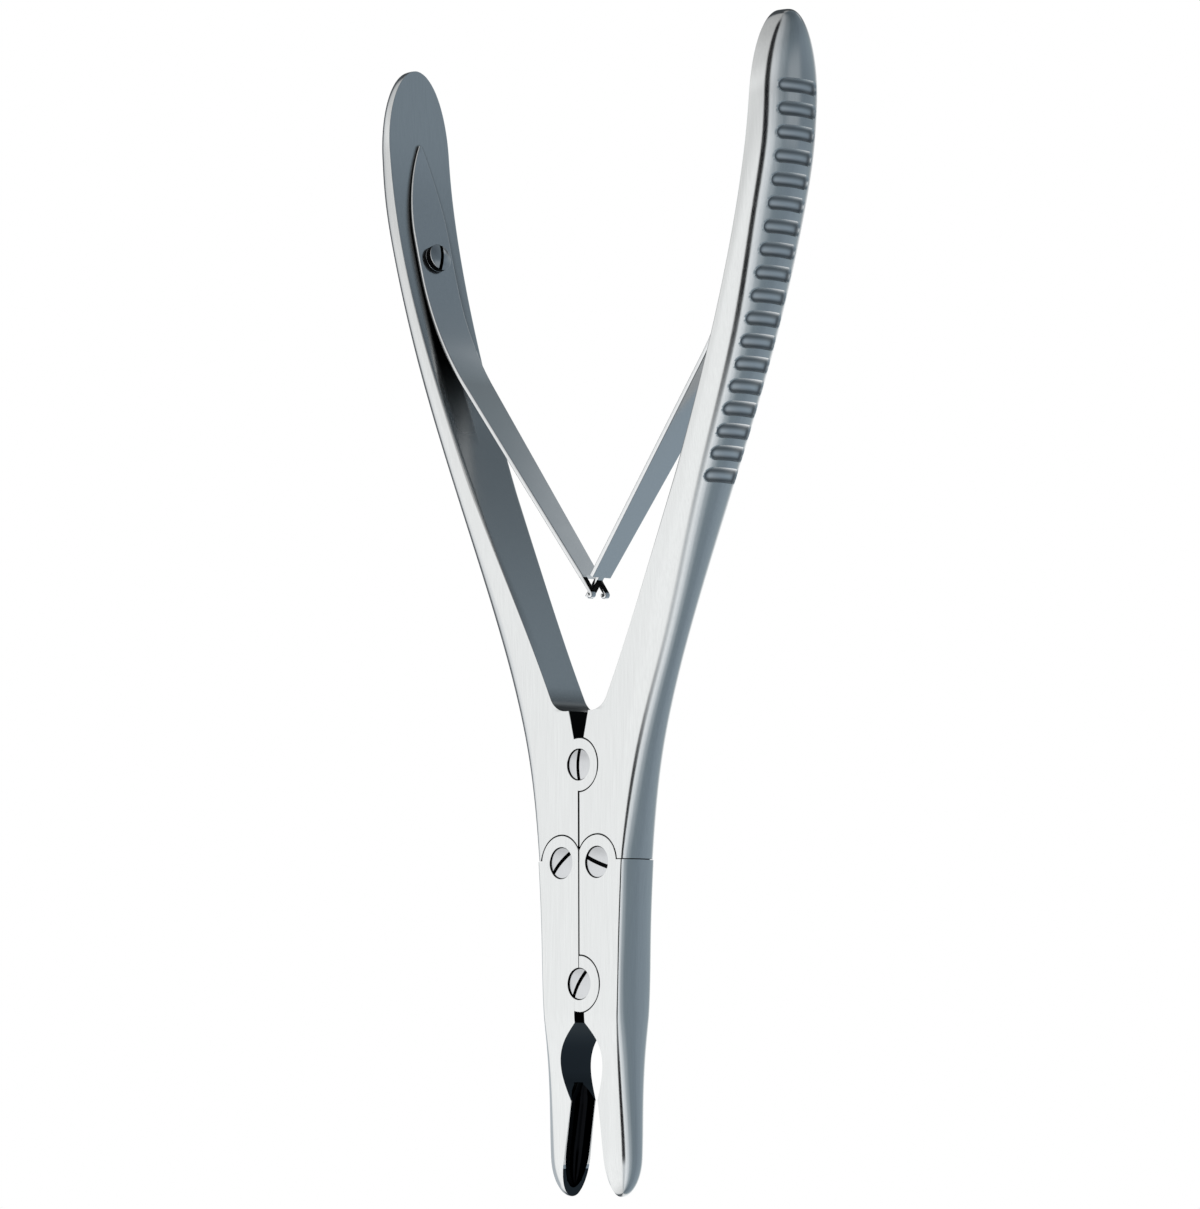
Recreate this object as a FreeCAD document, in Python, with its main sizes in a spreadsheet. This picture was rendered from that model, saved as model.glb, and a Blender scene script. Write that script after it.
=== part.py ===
"""Double-action bone rongeur, about 225 mm long with its handles open.

Two handles cross at one pivot. Each lower arm ends in a tongue that carries the jaw of
its own side, and the two jaws cross at a second pivot, so four screws make a linkage.
Every joint is a clevis of three layers: an ear, a tongue, an ear. Two leaf springs,
one screwed to each handle, meet in a fork and push the handles apart.

The part lies on its back: X is across, Y runs along it towards the handle ends and Z is
its thickness. Sizes along Y are measured from the axis of the handle pivot while the
pieces are made, and the last section moves them all into the row's frame.
"""
import FreeCAD, Part
import Sketcher
import math
import os

from FreeCAD import Placement, Rotation, Vector

doc = FreeCAD.newDocument("bone_rongeur")

# Driving dimensions, in millimetres and degrees

SIZES = {
    # The lock, where the four pivots are
    "lock_thickness": 9.4,
    "tongue_thickness": 4.2,
    "layer_play": 0.06,
    "link_across": 4.84,
    "link_along": -18.86,
    "jaw_pivot_along": -42.17,
    "handle_eye_radius": 5.1,
    "link_eye_radius": 5.25,
    "jaw_eye_radius": 5.4,
    "eye_play": 0.1,
    "seam_play": 0.02,
    "shoulder_gap": 0.4,
    "shoulder_above_link": 0.55,
    # The crotch between the handles
    "crotch_along": 10.4,
    "crotch_half_gap": 2.6,
    "crotch_root_half_gap": 0.9,
    "crotch_root_along": 3.4,
    "crotch_shelf_end": 6.3,
    "crotch_fillet": 3.2,
    # The handles, seen from the side
    "flare_start_along": 17.0,
    "flare_low_share": 0.27,
    "flare_low_rise": 0.31,
    "flare_high_share": 0.63,
    "flare_high_rise": 0.74,
    "grip_half_width": 8.2,
    "grip_full_along": 113.0,
    "grip_straight": 11.0,
    "crown_length": 17.1,
    "crown_flat": 49.85,
    "crown_flat_gain": 0.65,
    "crown_bulge": 5.65,
    "crown_fullness": 0.4,
    "edge_break": 0.15,
    # The grooves of the grip
    "groove_count": 18,
    "groove_first_along": 54.9,
    "groove_pitch": 4.42,
    "groove_height": 2.8,
    "groove_depth": 0.9,
    "groove_low_reach": 4.2,
    "groove_high_reach": 5.0,
    # The jaws
    "jaw_open_angle": 9.0,
    "bite_gap": 0.03,
    "jaw_nose_along": -76.0,
    "jaw_tip_along": -82.9,
    "jaw_nose_across": 6.6,
    "jaw_nose_half_across": 5.0,
    "jaw_nose_half_width": 4.2,
    "notch_half_gap": 1.35,
    "notch_end_along": -49.6,
    "cup_half_width": 3.0,
    "cup_depth": 3.0,
    "cup_start": 16.5,
    "cup_straight_end": 32.0,
    "cup_end": 39.6,
    # The pivot screws
    "pivot_shank_radius": 2.0,
    "running_play": 0.05,
    "fixed_play": 0.02,
    "pivot_head_radius": 3.0,
    "pivot_head_height": 1.5,
    "pivot_head_dome": 0.35,
    "screw_slot_width": 0.8,
    "screw_slot_depth": 0.75,
    # The leaf springs and their screws
    "leaf_thickness": 1.25,
    "leaf_seat_gap": 0.03,
    "leaf_foot_width": 9.3,
    "leaf_end_width": 5.2,
    "leaf_root_share": 0.15,
    "leaf_tip_along": 125.8,
    "leaf_lancet_share": 0.62,
    "leaf_widest_above_screw": 4.65,
    "leaf_lift_along": 97.0,
    "leaf_bend_radius": 62.0,
    "leaf_cross_along": 34.7,
    "leaf_hinge_share": 0.62,
    "leaf_hinge_gap": 0.05,
    "fork_slot_width": 2.4,
    "fork_root_distance": 2.3,
    "fork_reach": 2.6,
    "prong_curl_radius": 0.95,
    "tongue_width": 1.8,
    "tongue_reach": 2.6,
    "spring_screw_along": 102.4,
    "spring_screw_head_radius": 2.7,
    "spring_screw_head_height": 1.8,
    "spring_screw_shank_radius": 1.5,
    "spring_screw_depth": 3.6,
}

# Sections across a handle: distance along, where its flat face ends, and its bulge beyond
HANDLE_SECTIONS = {
    "shoulder": (-19.5, 10.2, 2.1),
    "eye": (3.0, 12.2, 4.3),
    "shank_root": (25.0, 18.1, 5.9),
    "shank_middle": (54.6, 30.1, 5.5),
    "grip_start": (82.0, 40.1, 6.1),
    "grip_middle": (104.0, 46.8, 5.5),
    "grip_top": (116.0, 49.1, 5.75),
}

# Turns around the crown at which it gets a section, in degrees from its widest place
CROWN_TURNS = (0, 18, 35, 50, 63, 74, 83, 87.5)

# The handle's inner face: distance along and distance from the middle plane
INNER_FACE = {
    "throat": (14.0, 8.1),
    "shank": (50.0, 25.5),
    "spring": (74.0, 35.9),
    "foot": (98.0, 44.25),
    "crown": (120.0, 48.9),
    "top": (146.0, 50.3),
}

# Sections across a jaw: distance along, flat face end, bulge, half width inside and outside
JAW_SECTIONS = {
    "shoulder": (-17.5, 10.8, 1.6, 4.7, 4.7),
    "waist": (-32.0, 9.95, 1.7, 4.7, 4.7),
    "taper": (-48.2, 9.3, 1.75, 4.7, 4.7),
    "window": (-56.0, 8.45, 2.3, 3.9, 4.35),
    "cup": (-65.0, 7.95, 2.7, 2.8, 4.0),
    "blade": (-75.0, 7.65, 2.9, 2.55, 3.85),
    "end": (-85.0, 7.25, 2.7, 2.2, 3.4),
}

# The window between the jaws: distance along and distance from the middle plane when open
WINDOW_EDGE = {
    "shoulder": (-52.6, 4.1),
    "widest": (-57.6, 5.65),
    "cusp": (-64.5, 3.62),
}

sheet = doc.addObject("Spreadsheet::Sheet", "Sizes")


def fill_sheet():
    """Write each driving dimension into its own named cell."""
    rows = dict(SIZES)
    for name, (along, flat, bulge) in HANDLE_SECTIONS.items():
        rows["handle_" + name + "_along"] = along
        rows["handle_" + name + "_flat"] = flat
        rows["handle_" + name + "_bulge"] = bulge
    for name, (along, across) in INNER_FACE.items():
        rows["inner_" + name + "_along"] = along
        rows["inner_" + name + "_across"] = across
    for name, (along, flat, bulge, inside, outside) in JAW_SECTIONS.items():
        rows["jaw_" + name + "_along"] = along
        rows["jaw_" + name + "_flat"] = flat
        rows["jaw_" + name + "_bulge"] = bulge
        rows["jaw_" + name + "_inside"] = inside
        rows["jaw_" + name + "_outside"] = outside
    for name, (along, across) in WINDOW_EDGE.items():
        rows["window_" + name + "_along"] = along
        rows["window_" + name + "_across"] = across
    for row, (name, value) in enumerate(rows.items(), start=1):
        sheet.set("A%d" % row, name)
        sheet.set("B%d" % row, str(value))
        sheet.setAlias("B%d" % row, name)
    doc.recompute()


fill_sheet()


def size(name):
    """The value of one driving dimension."""
    return float(sheet.get(name))


# Lengths that follow from the driving dimensions

LEFT = -1
RIGHT = 1
half_lock = size("lock_thickness") / 2
half_tongue = size("tongue_thickness") / 2
ear_inside = half_tongue + size("layer_play")
beyond = size("lock_thickness")
far_across = size("inner_top_across") + size("crown_bulge") + beyond
crown_along = size("grip_full_along") + size("grip_straight")
handle_end_along = crown_along + size("crown_length")
shoulder_along = size("link_along") + size("shoulder_above_link")
handle_foot_along = shoulder_along + size("shoulder_gap") / 2
jaw_head_along = shoulder_along - size("shoulder_gap") / 2
jaw_pivot = Vector(0, size("jaw_pivot_along"), 0)


def link_point(side):
    """Where a jaw hangs on the handle of its own side."""
    return Vector(side * size("link_across"), size("link_along"), 0)


# Building blocks

def keep(name, shape):
    """Hold a shape made from the sheet's sizes as an object of the document."""
    feature = doc.addObject("Part::Feature", name)
    feature.Shape = shape
    return feature


def cylinder(name, radius, low, high, centre):
    """An upright disc whose radius is bound to the sheet."""
    disc = doc.addObject("Part::Cylinder", name)
    disc.setExpression("Radius", radius)
    disc.Height = high - low
    disc.Placement = Placement(Vector(centre.x, centre.y, low), Rotation())
    return disc


def cut(name, base, tool):
    """One object less another."""
    result = doc.addObject("Part::Cut", name)
    result.Base = base
    result.Tool = tool
    return result


def fuse(name, parts):
    """Several objects joined to one solid."""
    result = doc.addObject("Part::MultiFuse", name)
    result.Shapes = parts
    result.Refine = True
    return result


def common(name, base, tool):
    """What two objects share."""
    result = doc.addObject("Part::Common", name)
    result.Base = base
    result.Tool = tool
    return result


def prism(points, direction):
    """A closed outline of straight edges, swept along a direction."""
    return Part.Face(Part.makePolygon(points + points[:1])).extrude(direction)


def bent_plate(edges, direction):
    """A closed outline of given edges, swept along a direction."""
    return Part.Face(Part.Wire(edges)).extrude(direction)


def spline(points, start=None, end=None):
    """A smooth curve through points, with its end directions where they matter."""
    curve = Part.BSplineCurve()
    if start and end:
        curve.interpolate(Points=points, InitialTangent=start, FinalTangent=end)
    else:
        curve.interpolate(Points=points)
    return curve


def half_space(name, side, reach):
    """Everything on one side of the middle plane, clear of the seam."""
    width = far_across
    across = reach if side == RIGHT else -reach - width
    box = doc.addObject("Part::Box", name)
    box.Length = width
    box.Width = handle_end_along - size("jaw_tip_along") + 2 * beyond
    box.Height = 2 * size("grip_half_width") + 2 * beyond
    box.Placement = Placement(
        Vector(across, size("jaw_tip_along") - beyond, -size("grip_half_width") - beyond),
        Rotation(),
    )
    return box


# The handle's curves, all drawn for the right side and mirrored for the left

def inner_curve():
    """The inner face of a handle in plan, straight from the throat and curving to the top."""
    points = [Vector(size("inner_%s_across" % name), size("inner_%s_along" % name), 0)
              for name in INNER_FACE]
    return spline(points)


inner_face = inner_curve()


def on_inner_face(along):
    """Point of the inner face at a distance along, with its direction towards the top."""
    low, high = inner_face.FirstParameter, inner_face.LastParameter
    for _ in range(60):
        middle = (low + high) / 2
        if inner_face.value(middle).y < along:
            low = middle
        else:
            high = middle
    point = inner_face.value(low)
    direction = Vector(*inner_face.tangent(low)[0])
    return point, direction


def half_width(along):
    """Half the handle's thickness at a distance along."""
    curve = flare_curve()
    low, high = curve.FirstParameter, curve.LastParameter
    if along > crown_along:
        share = min(1, (along - crown_along) / size("crown_length"))
        return size("grip_half_width") * math.sqrt(1 - share * share)
    if along >= size("grip_full_along"):
        return size("grip_half_width")
    if along <= size("flare_start_along"):
        return half_lock
    for _ in range(40):
        middle = (low + high) / 2
        if curve.value(middle).y < along:
            low = middle
        else:
            high = middle
    return curve.value(low).z


def flare_curve():
    """The edge of a handle seen from its inner side, from the lock to the full grip."""
    start = size("flare_start_along")
    end = size("grip_full_along")
    rise = size("grip_half_width") - half_lock
    points = [
        Vector(0, start, half_lock),
        Vector(0, start + size("flare_low_share") * (end - start),
               half_lock + size("flare_low_rise") * rise),
        Vector(0, start + size("flare_high_share") * (end - start),
               half_lock + size("flare_high_rise") * rise),
        Vector(0, end, half_lock + rise),
    ]
    return spline(points, Vector(0, 1, 0), Vector(0, 1, 0))


def side_outline():
    """The handle seen from its inner side: lock, flare, grip and an elliptical end."""
    flare = flare_curve().toShape()
    mirrored = flare.mirror(Vector(0, 0, 0), Vector(0, 0, 1))
    full = size("grip_half_width")
    rounding = crown_along
    reach = size("crown_length")
    top = Vector(0, size("grip_full_along"), full)
    shoulder = Vector(0, rounding, full)
    foot = Vector(0, handle_foot_along, half_lock)
    root = Vector(0, size("flare_start_along"), half_lock)
    if reach > full:
        ellipse = Part.Ellipse(Vector(0, rounding + reach, 0), shoulder, Vector(0, rounding, 0))
    else:
        ellipse = Part.Ellipse(shoulder, Vector(0, rounding + reach, 0), Vector(0, rounding, 0))
    crown = arc_between(ellipse, shoulder, under(shoulder), Vector(0, rounding + reach, 0))
    return [
        Part.LineSegment(under(foot), foot).toShape(),
        Part.LineSegment(foot, root).toShape(),
        flare,
        Part.LineSegment(top, shoulder).toShape(),
        crown,
        Part.LineSegment(under(shoulder), under(top)).toShape(),
        mirrored,
        Part.LineSegment(under(root), under(foot)).toShape(),
    ]


def under(point):
    """The same point on the other side of the middle of the thickness."""
    return Vector(point.x, point.y, -point.z)


def arc_between(ellipse, start, end, through):
    """The stretch of an ellipse from start to end that passes a third point."""
    first = ellipse.parameter(start)
    last = ellipse.parameter(end)
    middle = ellipse.parameter(through)
    turn = 2 * math.pi
    if (middle - first) % turn < (last - first) % turn:
        return ellipse.toShape(first, first + (last - first) % turn)
    return ellipse.toShape(last, last + (first - last) % turn)


def outer_section(along, flat, bulge, half, side):
    """A section across a handle: flat faces from the middle plane and an elliptical back."""
    corners = [Vector(side * x, along, z) for x, z in
               ((0, -half), (flat, -half), (flat, half), (0, half))]
    centre = Vector(side * flat, along, 0)
    crest = Vector(side * (flat + bulge), along, 0)
    if bulge > half:
        ellipse = Part.Ellipse(crest, corners[2], centre)
    else:
        ellipse = Part.Ellipse(corners[2], crest, centre)
    back = arc_between(ellipse, corners[1], corners[2], crest)
    return Part.Wire(Part.sortEdges([
        Part.LineSegment(corners[0], corners[1]).toShape(),
        back,
        Part.LineSegment(corners[2], corners[3]).toShape(),
        Part.LineSegment(corners[3], corners[0]).toShape(),
    ])[0])


def handle_body(side, inset):
    """The handle's outside as a loft, set in by the groove depth for the grooves' floor."""
    stations = []
    for name in HANDLE_SECTIONS:
        stations.append([size("handle_%s_%s" % (name, part)) for part in ("along", "flat", "bulge")])
    for turn in CROWN_TURNS:
        around, across = math.sin(math.radians(turn)), math.cos(math.radians(turn))
        stations.append([crown_along + around * size("crown_length"),
                         size("crown_flat") + around * size("crown_flat_gain"),
                         size("crown_bulge") * across ** size("crown_fullness")])
    sections = []
    for along, flat, bulge in stations:
        half = half_width(along) * (1 + size("edge_break") / size("grip_half_width"))
        if half > 2 * inset:
            sections.append(outer_section(along, flat, bulge - inset, half - inset, side))
    return Part.makeLoft(sections, True, False)


def inside_of_handle(side):
    """The space between the middle plane and a handle: gap, crotch shelf and inner face."""
    root = Vector(size("crotch_root_half_gap"), size("crotch_root_along"), 0)
    lip = Vector(size("crotch_half_gap"), size("crotch_along"), 0)
    shelf = Vector(size("crotch_shelf_end"), size("crotch_along"), 0)
    throat = inner_face.value(inner_face.FirstParameter)
    top = inner_face.value(inner_face.LastParameter)
    clear = max(top.y, handle_end_along) + beyond
    height = 2 * (size("grip_half_width") + beyond)
    lines = [
        Part.LineSegment(Vector(-1, size("crotch_root_along"), 0), root).toShape(),
        Part.LineSegment(root, lip).toShape(),
        Part.LineSegment(lip, shelf).toShape(),
        Part.LineSegment(shelf, throat).toShape(),
        inner_face.toShape(),
        Part.LineSegment(top, Vector(top.x, clear, 0)).toShape(),
        Part.LineSegment(Vector(top.x, clear, 0), Vector(-1, clear, 0)).toShape(),
        Part.LineSegment(Vector(-1, clear, 0), Vector(-1, size("crotch_root_along"), 0)).toShape(),
    ]
    solid = Part.Face(Part.Wire(lines)).extrude(Vector(0, 0, height))
    solid.translate(Vector(0, 0, -height / 2))
    corner = [edge for edge in solid.Edges
              if abs(edge.CenterOfMass.x - shelf.x) < 1e-6 and abs(edge.CenterOfMass.y - shelf.y) < 1e-6]
    solid = solid.makeFillet(size("crotch_fillet"), corner)
    if side == LEFT:
        solid = solid.mirror(Vector(0, 0, 0), Vector(1, 0, 0))
    return solid


def groove_cutters(side):
    """Stadium-shaped prisms that run out through the back of the grip, one for each groove.

    They are evenly spaced along the handle's own curve and all point straight across.
    """
    cutters = []
    rounding = size("groove_height") / 2
    outward = Vector(1, 0, 0)
    upper = Vector(0, rounding, 0)
    count = int(size("groove_count"))
    along = size("groove_first_along")
    for number in range(count):
        face, direction = on_inner_face(along)
        along += size("groove_pitch") * direction.y
        share = number / max(1, count - 1)
        reach = (size("groove_low_reach") * (1 - share) + size("groove_high_reach") * share
                 - rounding)
        base = face + outward * size("leaf_thickness")
        ends = [base + Vector(0, 0, reach), base - Vector(0, 0, reach)]
        edges = [
            Part.LineSegment(ends[0] + upper, ends[1] + upper).toShape(),
            Part.Arc(ends[1] + upper, ends[1] - Vector(0, 0, rounding), ends[1] - upper).toShape(),
            Part.LineSegment(ends[1] - upper, ends[0] - upper).toShape(),
            Part.Arc(ends[0] - upper, ends[0] + Vector(0, 0, rounding), ends[0] + upper).toShape(),
        ]
        cutter = Part.Face(Part.Wire(edges)).extrude(outward * (2 * beyond))
        if side == LEFT:
            cutter = cutter.mirror(Vector(0, 0, 0), Vector(1, 0, 0))
        cutters.append(cutter)
    return Part.makeCompound(cutters)


# The handles

def discs(name, radius, layers, centre):
    """The same disc in each given layer of the lock."""
    made = [cylinder("%s_%d" % (name, number), radius, low, high, centre)
            for number, (low, high) in enumerate(layers)]
    return made


EARS = ((-half_lock, -ear_inside), (ear_inside, half_lock))
TONGUE = ((-half_tongue, half_tongue),)
OUTER_LAYERS = ((-half_lock - beyond, -half_tongue), (half_tongue, half_lock + beyond))
MIDDLE_LAYER = ((-ear_inside, ear_inside),)


def compound(name, parts):
    """Separate cutters that act as one."""
    group = doc.addObject("Part::Compound", name)
    group.Links = parts
    return group


def spring_screw_axis(side):
    """Where a spring screw enters the handle's inner face, and its way into the handle."""
    face, direction = on_inner_face(size("spring_screw_along"))
    inward = Vector(direction.y, -direction.x, 0)
    if side == LEFT:
        return Vector(-face.x, face.y, 0), Vector(-inward.x, inward.y, 0)
    return face, inward


def make_handle(side, name):
    """One handle, from its grip to the tongue that carries the jaw."""
    outside = keep(name + "_outside", handle_body(side, 0))
    profile = bent_plate(side_outline(), Vector(side * far_across, 0, 0))
    silhouette = keep(name + "_silhouette", profile)
    inside = keep(name + "_inside", inside_of_handle(side))
    outlined = common(name + "_outlined", outside, silhouette)
    trimmed = common(name + "_trimmed", outlined, half_space(name + "_half", side,
                                                             size("seam_play")))
    bare = cut(name + "_bare", trimmed, inside)

    # Grooves: what the upright cutters share with the skin outside the groove floor
    floor = keep(name + "_groove_floor", handle_body(side, size("groove_depth")))
    skin_cutters = cut(name + "_groove_cutters", keep(name + "_groove_prisms", groove_cutters(side)),
                       floor)
    grooved = cut(name + "_grooved", bare, skin_cutters)

    # The clevis at the handle pivot: the left handle has the ears, the right the tongue
    pivot = Vector(0, 0, 0)
    eye = "Sizes.handle_eye_radius"
    eye_cut = "Sizes.handle_eye_radius + Sizes.eye_play"
    if side == LEFT:
        cleared = discs(name + "_pivot_room", eye_cut, MIDDLE_LAYER, pivot)
        added = discs(name + "_pivot_ear", eye, EARS, pivot)
    else:
        cleared = discs(name + "_pivot_room", eye_cut, OUTER_LAYERS, pivot)
        added = discs(name + "_pivot_tongue", eye, TONGUE, pivot)

    # The tongue under the jaw's ears, cut flat at the seam
    link = link_point(side)
    link_room = discs(name + "_link_room", "Sizes.link_eye_radius + Sizes.eye_play",
                      OUTER_LAYERS, link)
    tongue_disc = discs(name + "_link_tongue", "Sizes.link_eye_radius - Sizes.eye_play",
                        TONGUE, link)
    link_tongue = common(name + "_link_tongue_flat", tongue_disc[0],
                         half_space(name + "_link_half", side, size("seam_play")))
    opened = cut(name + "_opened", grooved, compound(name + "_rooms", cleared + link_room))
    joined = fuse(name + "_joined", [opened, link_tongue] + added)

    # Bores
    bore = "Sizes.pivot_shank_radius + Sizes.running_play"
    low, high = -half_lock - beyond, half_lock + beyond
    pivot_bore = bore if side == RIGHT else "Sizes.pivot_shank_radius + Sizes.fixed_play"
    bores = [
        cylinder(name + "_pivot_bore", pivot_bore, low, high, pivot),
        cylinder(name + "_link_bore", bore, low, high, link),
    ]
    if side == LEFT:
        bores.append(cylinder(name + "_head_seat", "Sizes.pivot_head_radius + Sizes.fixed_play",
                              half_lock - size("pivot_head_height"), high, pivot))
    start, inward = spring_screw_axis(side)
    hole = doc.addObject("Part::Cylinder", name + "_spring_screw_hole")
    hole.setExpression("Radius", "Sizes.spring_screw_shank_radius + Sizes.fixed_play")
    hole.Height = size("spring_screw_depth") + beyond
    hole.Placement = Placement(start - inward * beyond, Rotation(Vector(0, 0, 1), inward))
    bores.append(hole)
    return cut(name, joined, compound(name + "_bores", bores))


# The jaws

def jaw_section(name, side):
    """A section across a jaw, with faces that lean out from the rim and a rounded back."""
    along, flat, bulge, inside, outside = (
        size("jaw_%s_%s" % (name, part)) for part in ("along", "flat", "bulge", "inside", "outside"))
    corners = [Vector(side * x, along, z) for x, z in
               ((0, -inside), (flat, -outside), (flat, outside), (0, inside))]
    centre = Vector(side * flat, along, 0)
    crest = Vector(side * (flat + bulge), along, 0)
    if bulge > outside:
        ellipse = Part.Ellipse(crest, corners[2], centre)
    else:
        ellipse = Part.Ellipse(corners[2], crest, centre)
    back = arc_between(ellipse, corners[1], corners[2], crest)
    return Part.Wire(Part.sortEdges([
        Part.LineSegment(corners[0], corners[1]).toShape(),
        back,
        Part.LineSegment(corners[2], corners[3]).toShape(),
        Part.LineSegment(corners[3], corners[0]).toShape(),
    ])[0])


def rim_point(distance, across, side):
    """A point at a distance below the jaw pivot along the bite, in the open position."""
    angle = math.radians(size("jaw_open_angle"))
    x = across * math.cos(angle) + distance * math.sin(angle)
    y = size("jaw_pivot_along") - distance * math.cos(angle) + across * math.sin(angle)
    return Vector(side * x, y, 0)


def inside_of_jaw(side):
    """The notch, window and bite that part one jaw from the other below their pivot."""
    notch = size("notch_half_gap")
    top = size("jaw_pivot_along") - size("jaw_eye_radius") / 2
    edge = [Vector(size("window_%s_across" % name), size("window_%s_along" % name), 0)
            for name in WINDOW_EDGE]
    start = Vector(notch, size("notch_end_along"), 0)
    tip = rim_point(size("jaw_pivot_along") - size("jaw_tip_along") + beyond, size("bite_gap"), RIGHT)
    beside = Vector(-1, tip.y, 0)
    above = Vector(-1, top, 0)
    wall = Vector(notch, top, 0)
    height = 2 * beyond
    edges = [
        Part.LineSegment(above, wall).toShape(),
        Part.LineSegment(wall, start).toShape(),
        spline([start] + edge).toShape(),
        Part.LineSegment(edge[-1], tip).toShape(),
        Part.LineSegment(tip, beside).toShape(),
        Part.LineSegment(beside, above).toShape(),
    ]
    solid = Part.Face(Part.Wire(edges)).extrude(Vector(0, 0, height))
    solid.translate(Vector(0, 0, -height / 2))
    if side == LEFT:
        solid = solid.mirror(Vector(0, 0, 0), Vector(1, 0, 0))
    return solid


def cup_cutter(side):
    """The gouge-shaped hollow of the bite, open into the window and rounded at the tip."""
    angle = math.radians(size("jaw_open_angle"))
    start = rim_point(size("cup_start"), 0, side)
    turn = rim_point(size("cup_straight_end"), 0, side)
    down = (turn - start).normalize()
    across = Vector(side * math.cos(angle), math.sin(angle), 0)
    trough = Part.makeCylinder(1, (turn - start).Length, start, down)
    ball = Part.makeSphere(1, turn)
    # Stretched from a unit circle and ball to the cup's width, depth and rounded end
    stretched = []
    for shape, centre, run in ((trough, start, 1), (ball, turn, size("cup_end") - size("cup_straight_end"))):
        matrix = FreeCAD.Matrix()
        into = frame_matrix(centre, across, down)
        matrix = into.multiply(scale_matrix(size("cup_depth"), run, size("cup_half_width")))
        matrix = matrix.multiply(into.inverse())
        stretched.append(shape.transformGeometry(matrix))
    return stretched[0].fuse(stretched[1])


def frame_matrix(centre, first, second):
    """The matrix of a frame at a point, with its first and second axes as given."""
    third = first.cross(second)
    return FreeCAD.Matrix(first.x, second.x, third.x, centre.x,
                          first.y, second.y, third.y, centre.y,
                          first.z, second.z, third.z, centre.z,
                          0, 0, 0, 1)


def scale_matrix(first, second, third):
    """A matrix that stretches by a factor along each axis."""
    matrix = FreeCAD.Matrix()
    matrix.scale(first, second, third)
    return matrix


def make_jaw(side, name):
    """One jaw, from its link ears past the jaw pivot to the cup."""
    upper = [jaw_section(station, side) for station in ("shoulder", "waist", "taper")]
    lower = [jaw_section(station, side) for station in ("taper", "window", "cup", "blade", "end")]
    shank = keep(name + "_shank", Part.makeLoft(upper, True, True))
    blade = keep(name + "_blade", Part.makeLoft(lower, True, False))
    bar = fuse(name + "_bar", [shank, blade])

    # The nose: an ellipsoid rounds off what lies beyond its middle
    nose = doc.addObject("Part::Ellipsoid", name + "_nose")
    nose.setExpression("Radius1", "Sizes.jaw_nose_half_width")
    nose.setExpression("Radius2", "Sizes.jaw_nose_half_across")
    nose.setExpression("Radius3", "Sizes.jaw_nose_along - Sizes.jaw_tip_along")
    nose.Placement = Placement(
        Vector(side * size("jaw_nose_across"), size("jaw_nose_along"), 0), Rotation())
    above = doc.addObject("Part::Box", name + "_above_nose")
    above.Length = 2 * far_across
    above.Width = jaw_head_along - size("jaw_nose_along")
    above.Height = 2 * beyond
    above.Placement = Placement(Vector(-far_across, size("jaw_nose_along"), -beyond), Rotation())
    envelope = fuse(name + "_envelope", [nose, above])
    half = half_space(name + "_half", side, size("seam_play"))
    rounded = common(name + "_rounded", common(name + "_nosed", bar, envelope), half)
    bitten = cut(name + "_bitten", rounded, keep(name + "_inside", inside_of_jaw(side)))
    cupped = cut(name + "_cupped", bitten, keep(name + "_cup", cup_cutter(side)))

    # Link ears at the top and the clevis at the jaw pivot
    link = link_point(side)
    tongue_room = discs(name + "_tongue_room", "Sizes.link_eye_radius", MIDDLE_LAYER, link)
    ear_discs = compound(name + "_ear_discs", discs(name + "_link_ear", "Sizes.link_eye_radius",
                                                    EARS, link))
    ears = common(name + "_ears", ear_discs, half_space(name + "_ear_half", side,
                                                        size("seam_play")))
    eye = "Sizes.jaw_eye_radius"
    eye_cut = "Sizes.jaw_eye_radius + Sizes.eye_play"
    if side == LEFT:
        cleared = discs(name + "_pivot_room", eye_cut, MIDDLE_LAYER, jaw_pivot)
        added = discs(name + "_pivot_ear", eye, EARS, jaw_pivot)
    else:
        cleared = discs(name + "_pivot_room", eye_cut, OUTER_LAYERS, jaw_pivot)
        added = discs(name + "_pivot_tongue", eye, TONGUE, jaw_pivot)
    opened = cut(name + "_opened", cupped, compound(name + "_rooms", tongue_room + cleared))
    joined = fuse(name + "_joined", [opened, ears] + added)

    # Bores and the seats of the screw heads
    low, high = -half_lock - beyond, half_lock + beyond
    head_low = half_lock - size("pivot_head_height")
    fixed = "Sizes.pivot_shank_radius + Sizes.fixed_play"
    seat = "Sizes.pivot_head_radius + Sizes.fixed_play"
    bores = [
        cylinder(name + "_link_bore", fixed, low, high, link),
        cylinder(name + "_link_seat", seat, head_low, high, link),
    ]
    if side == LEFT:
        bores.append(cylinder(name + "_pivot_bore", fixed, low, high, jaw_pivot))
        bores.append(cylinder(name + "_pivot_seat", seat, head_low, high, jaw_pivot))
    else:
        bores.append(cylinder(name + "_pivot_bore",
                              "Sizes.pivot_shank_radius + 2 * Sizes.running_play",
                              low, high, jaw_pivot))
    return cut(name, joined, compound(name + "_bores", bores))


# The screws, each a turned body with a slot across its head

def plane_of(body, role):
    """One of a body's own origin planes."""
    return [feature for feature in body.Origin.OriginFeatures if feature.Role == role][0]


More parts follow.
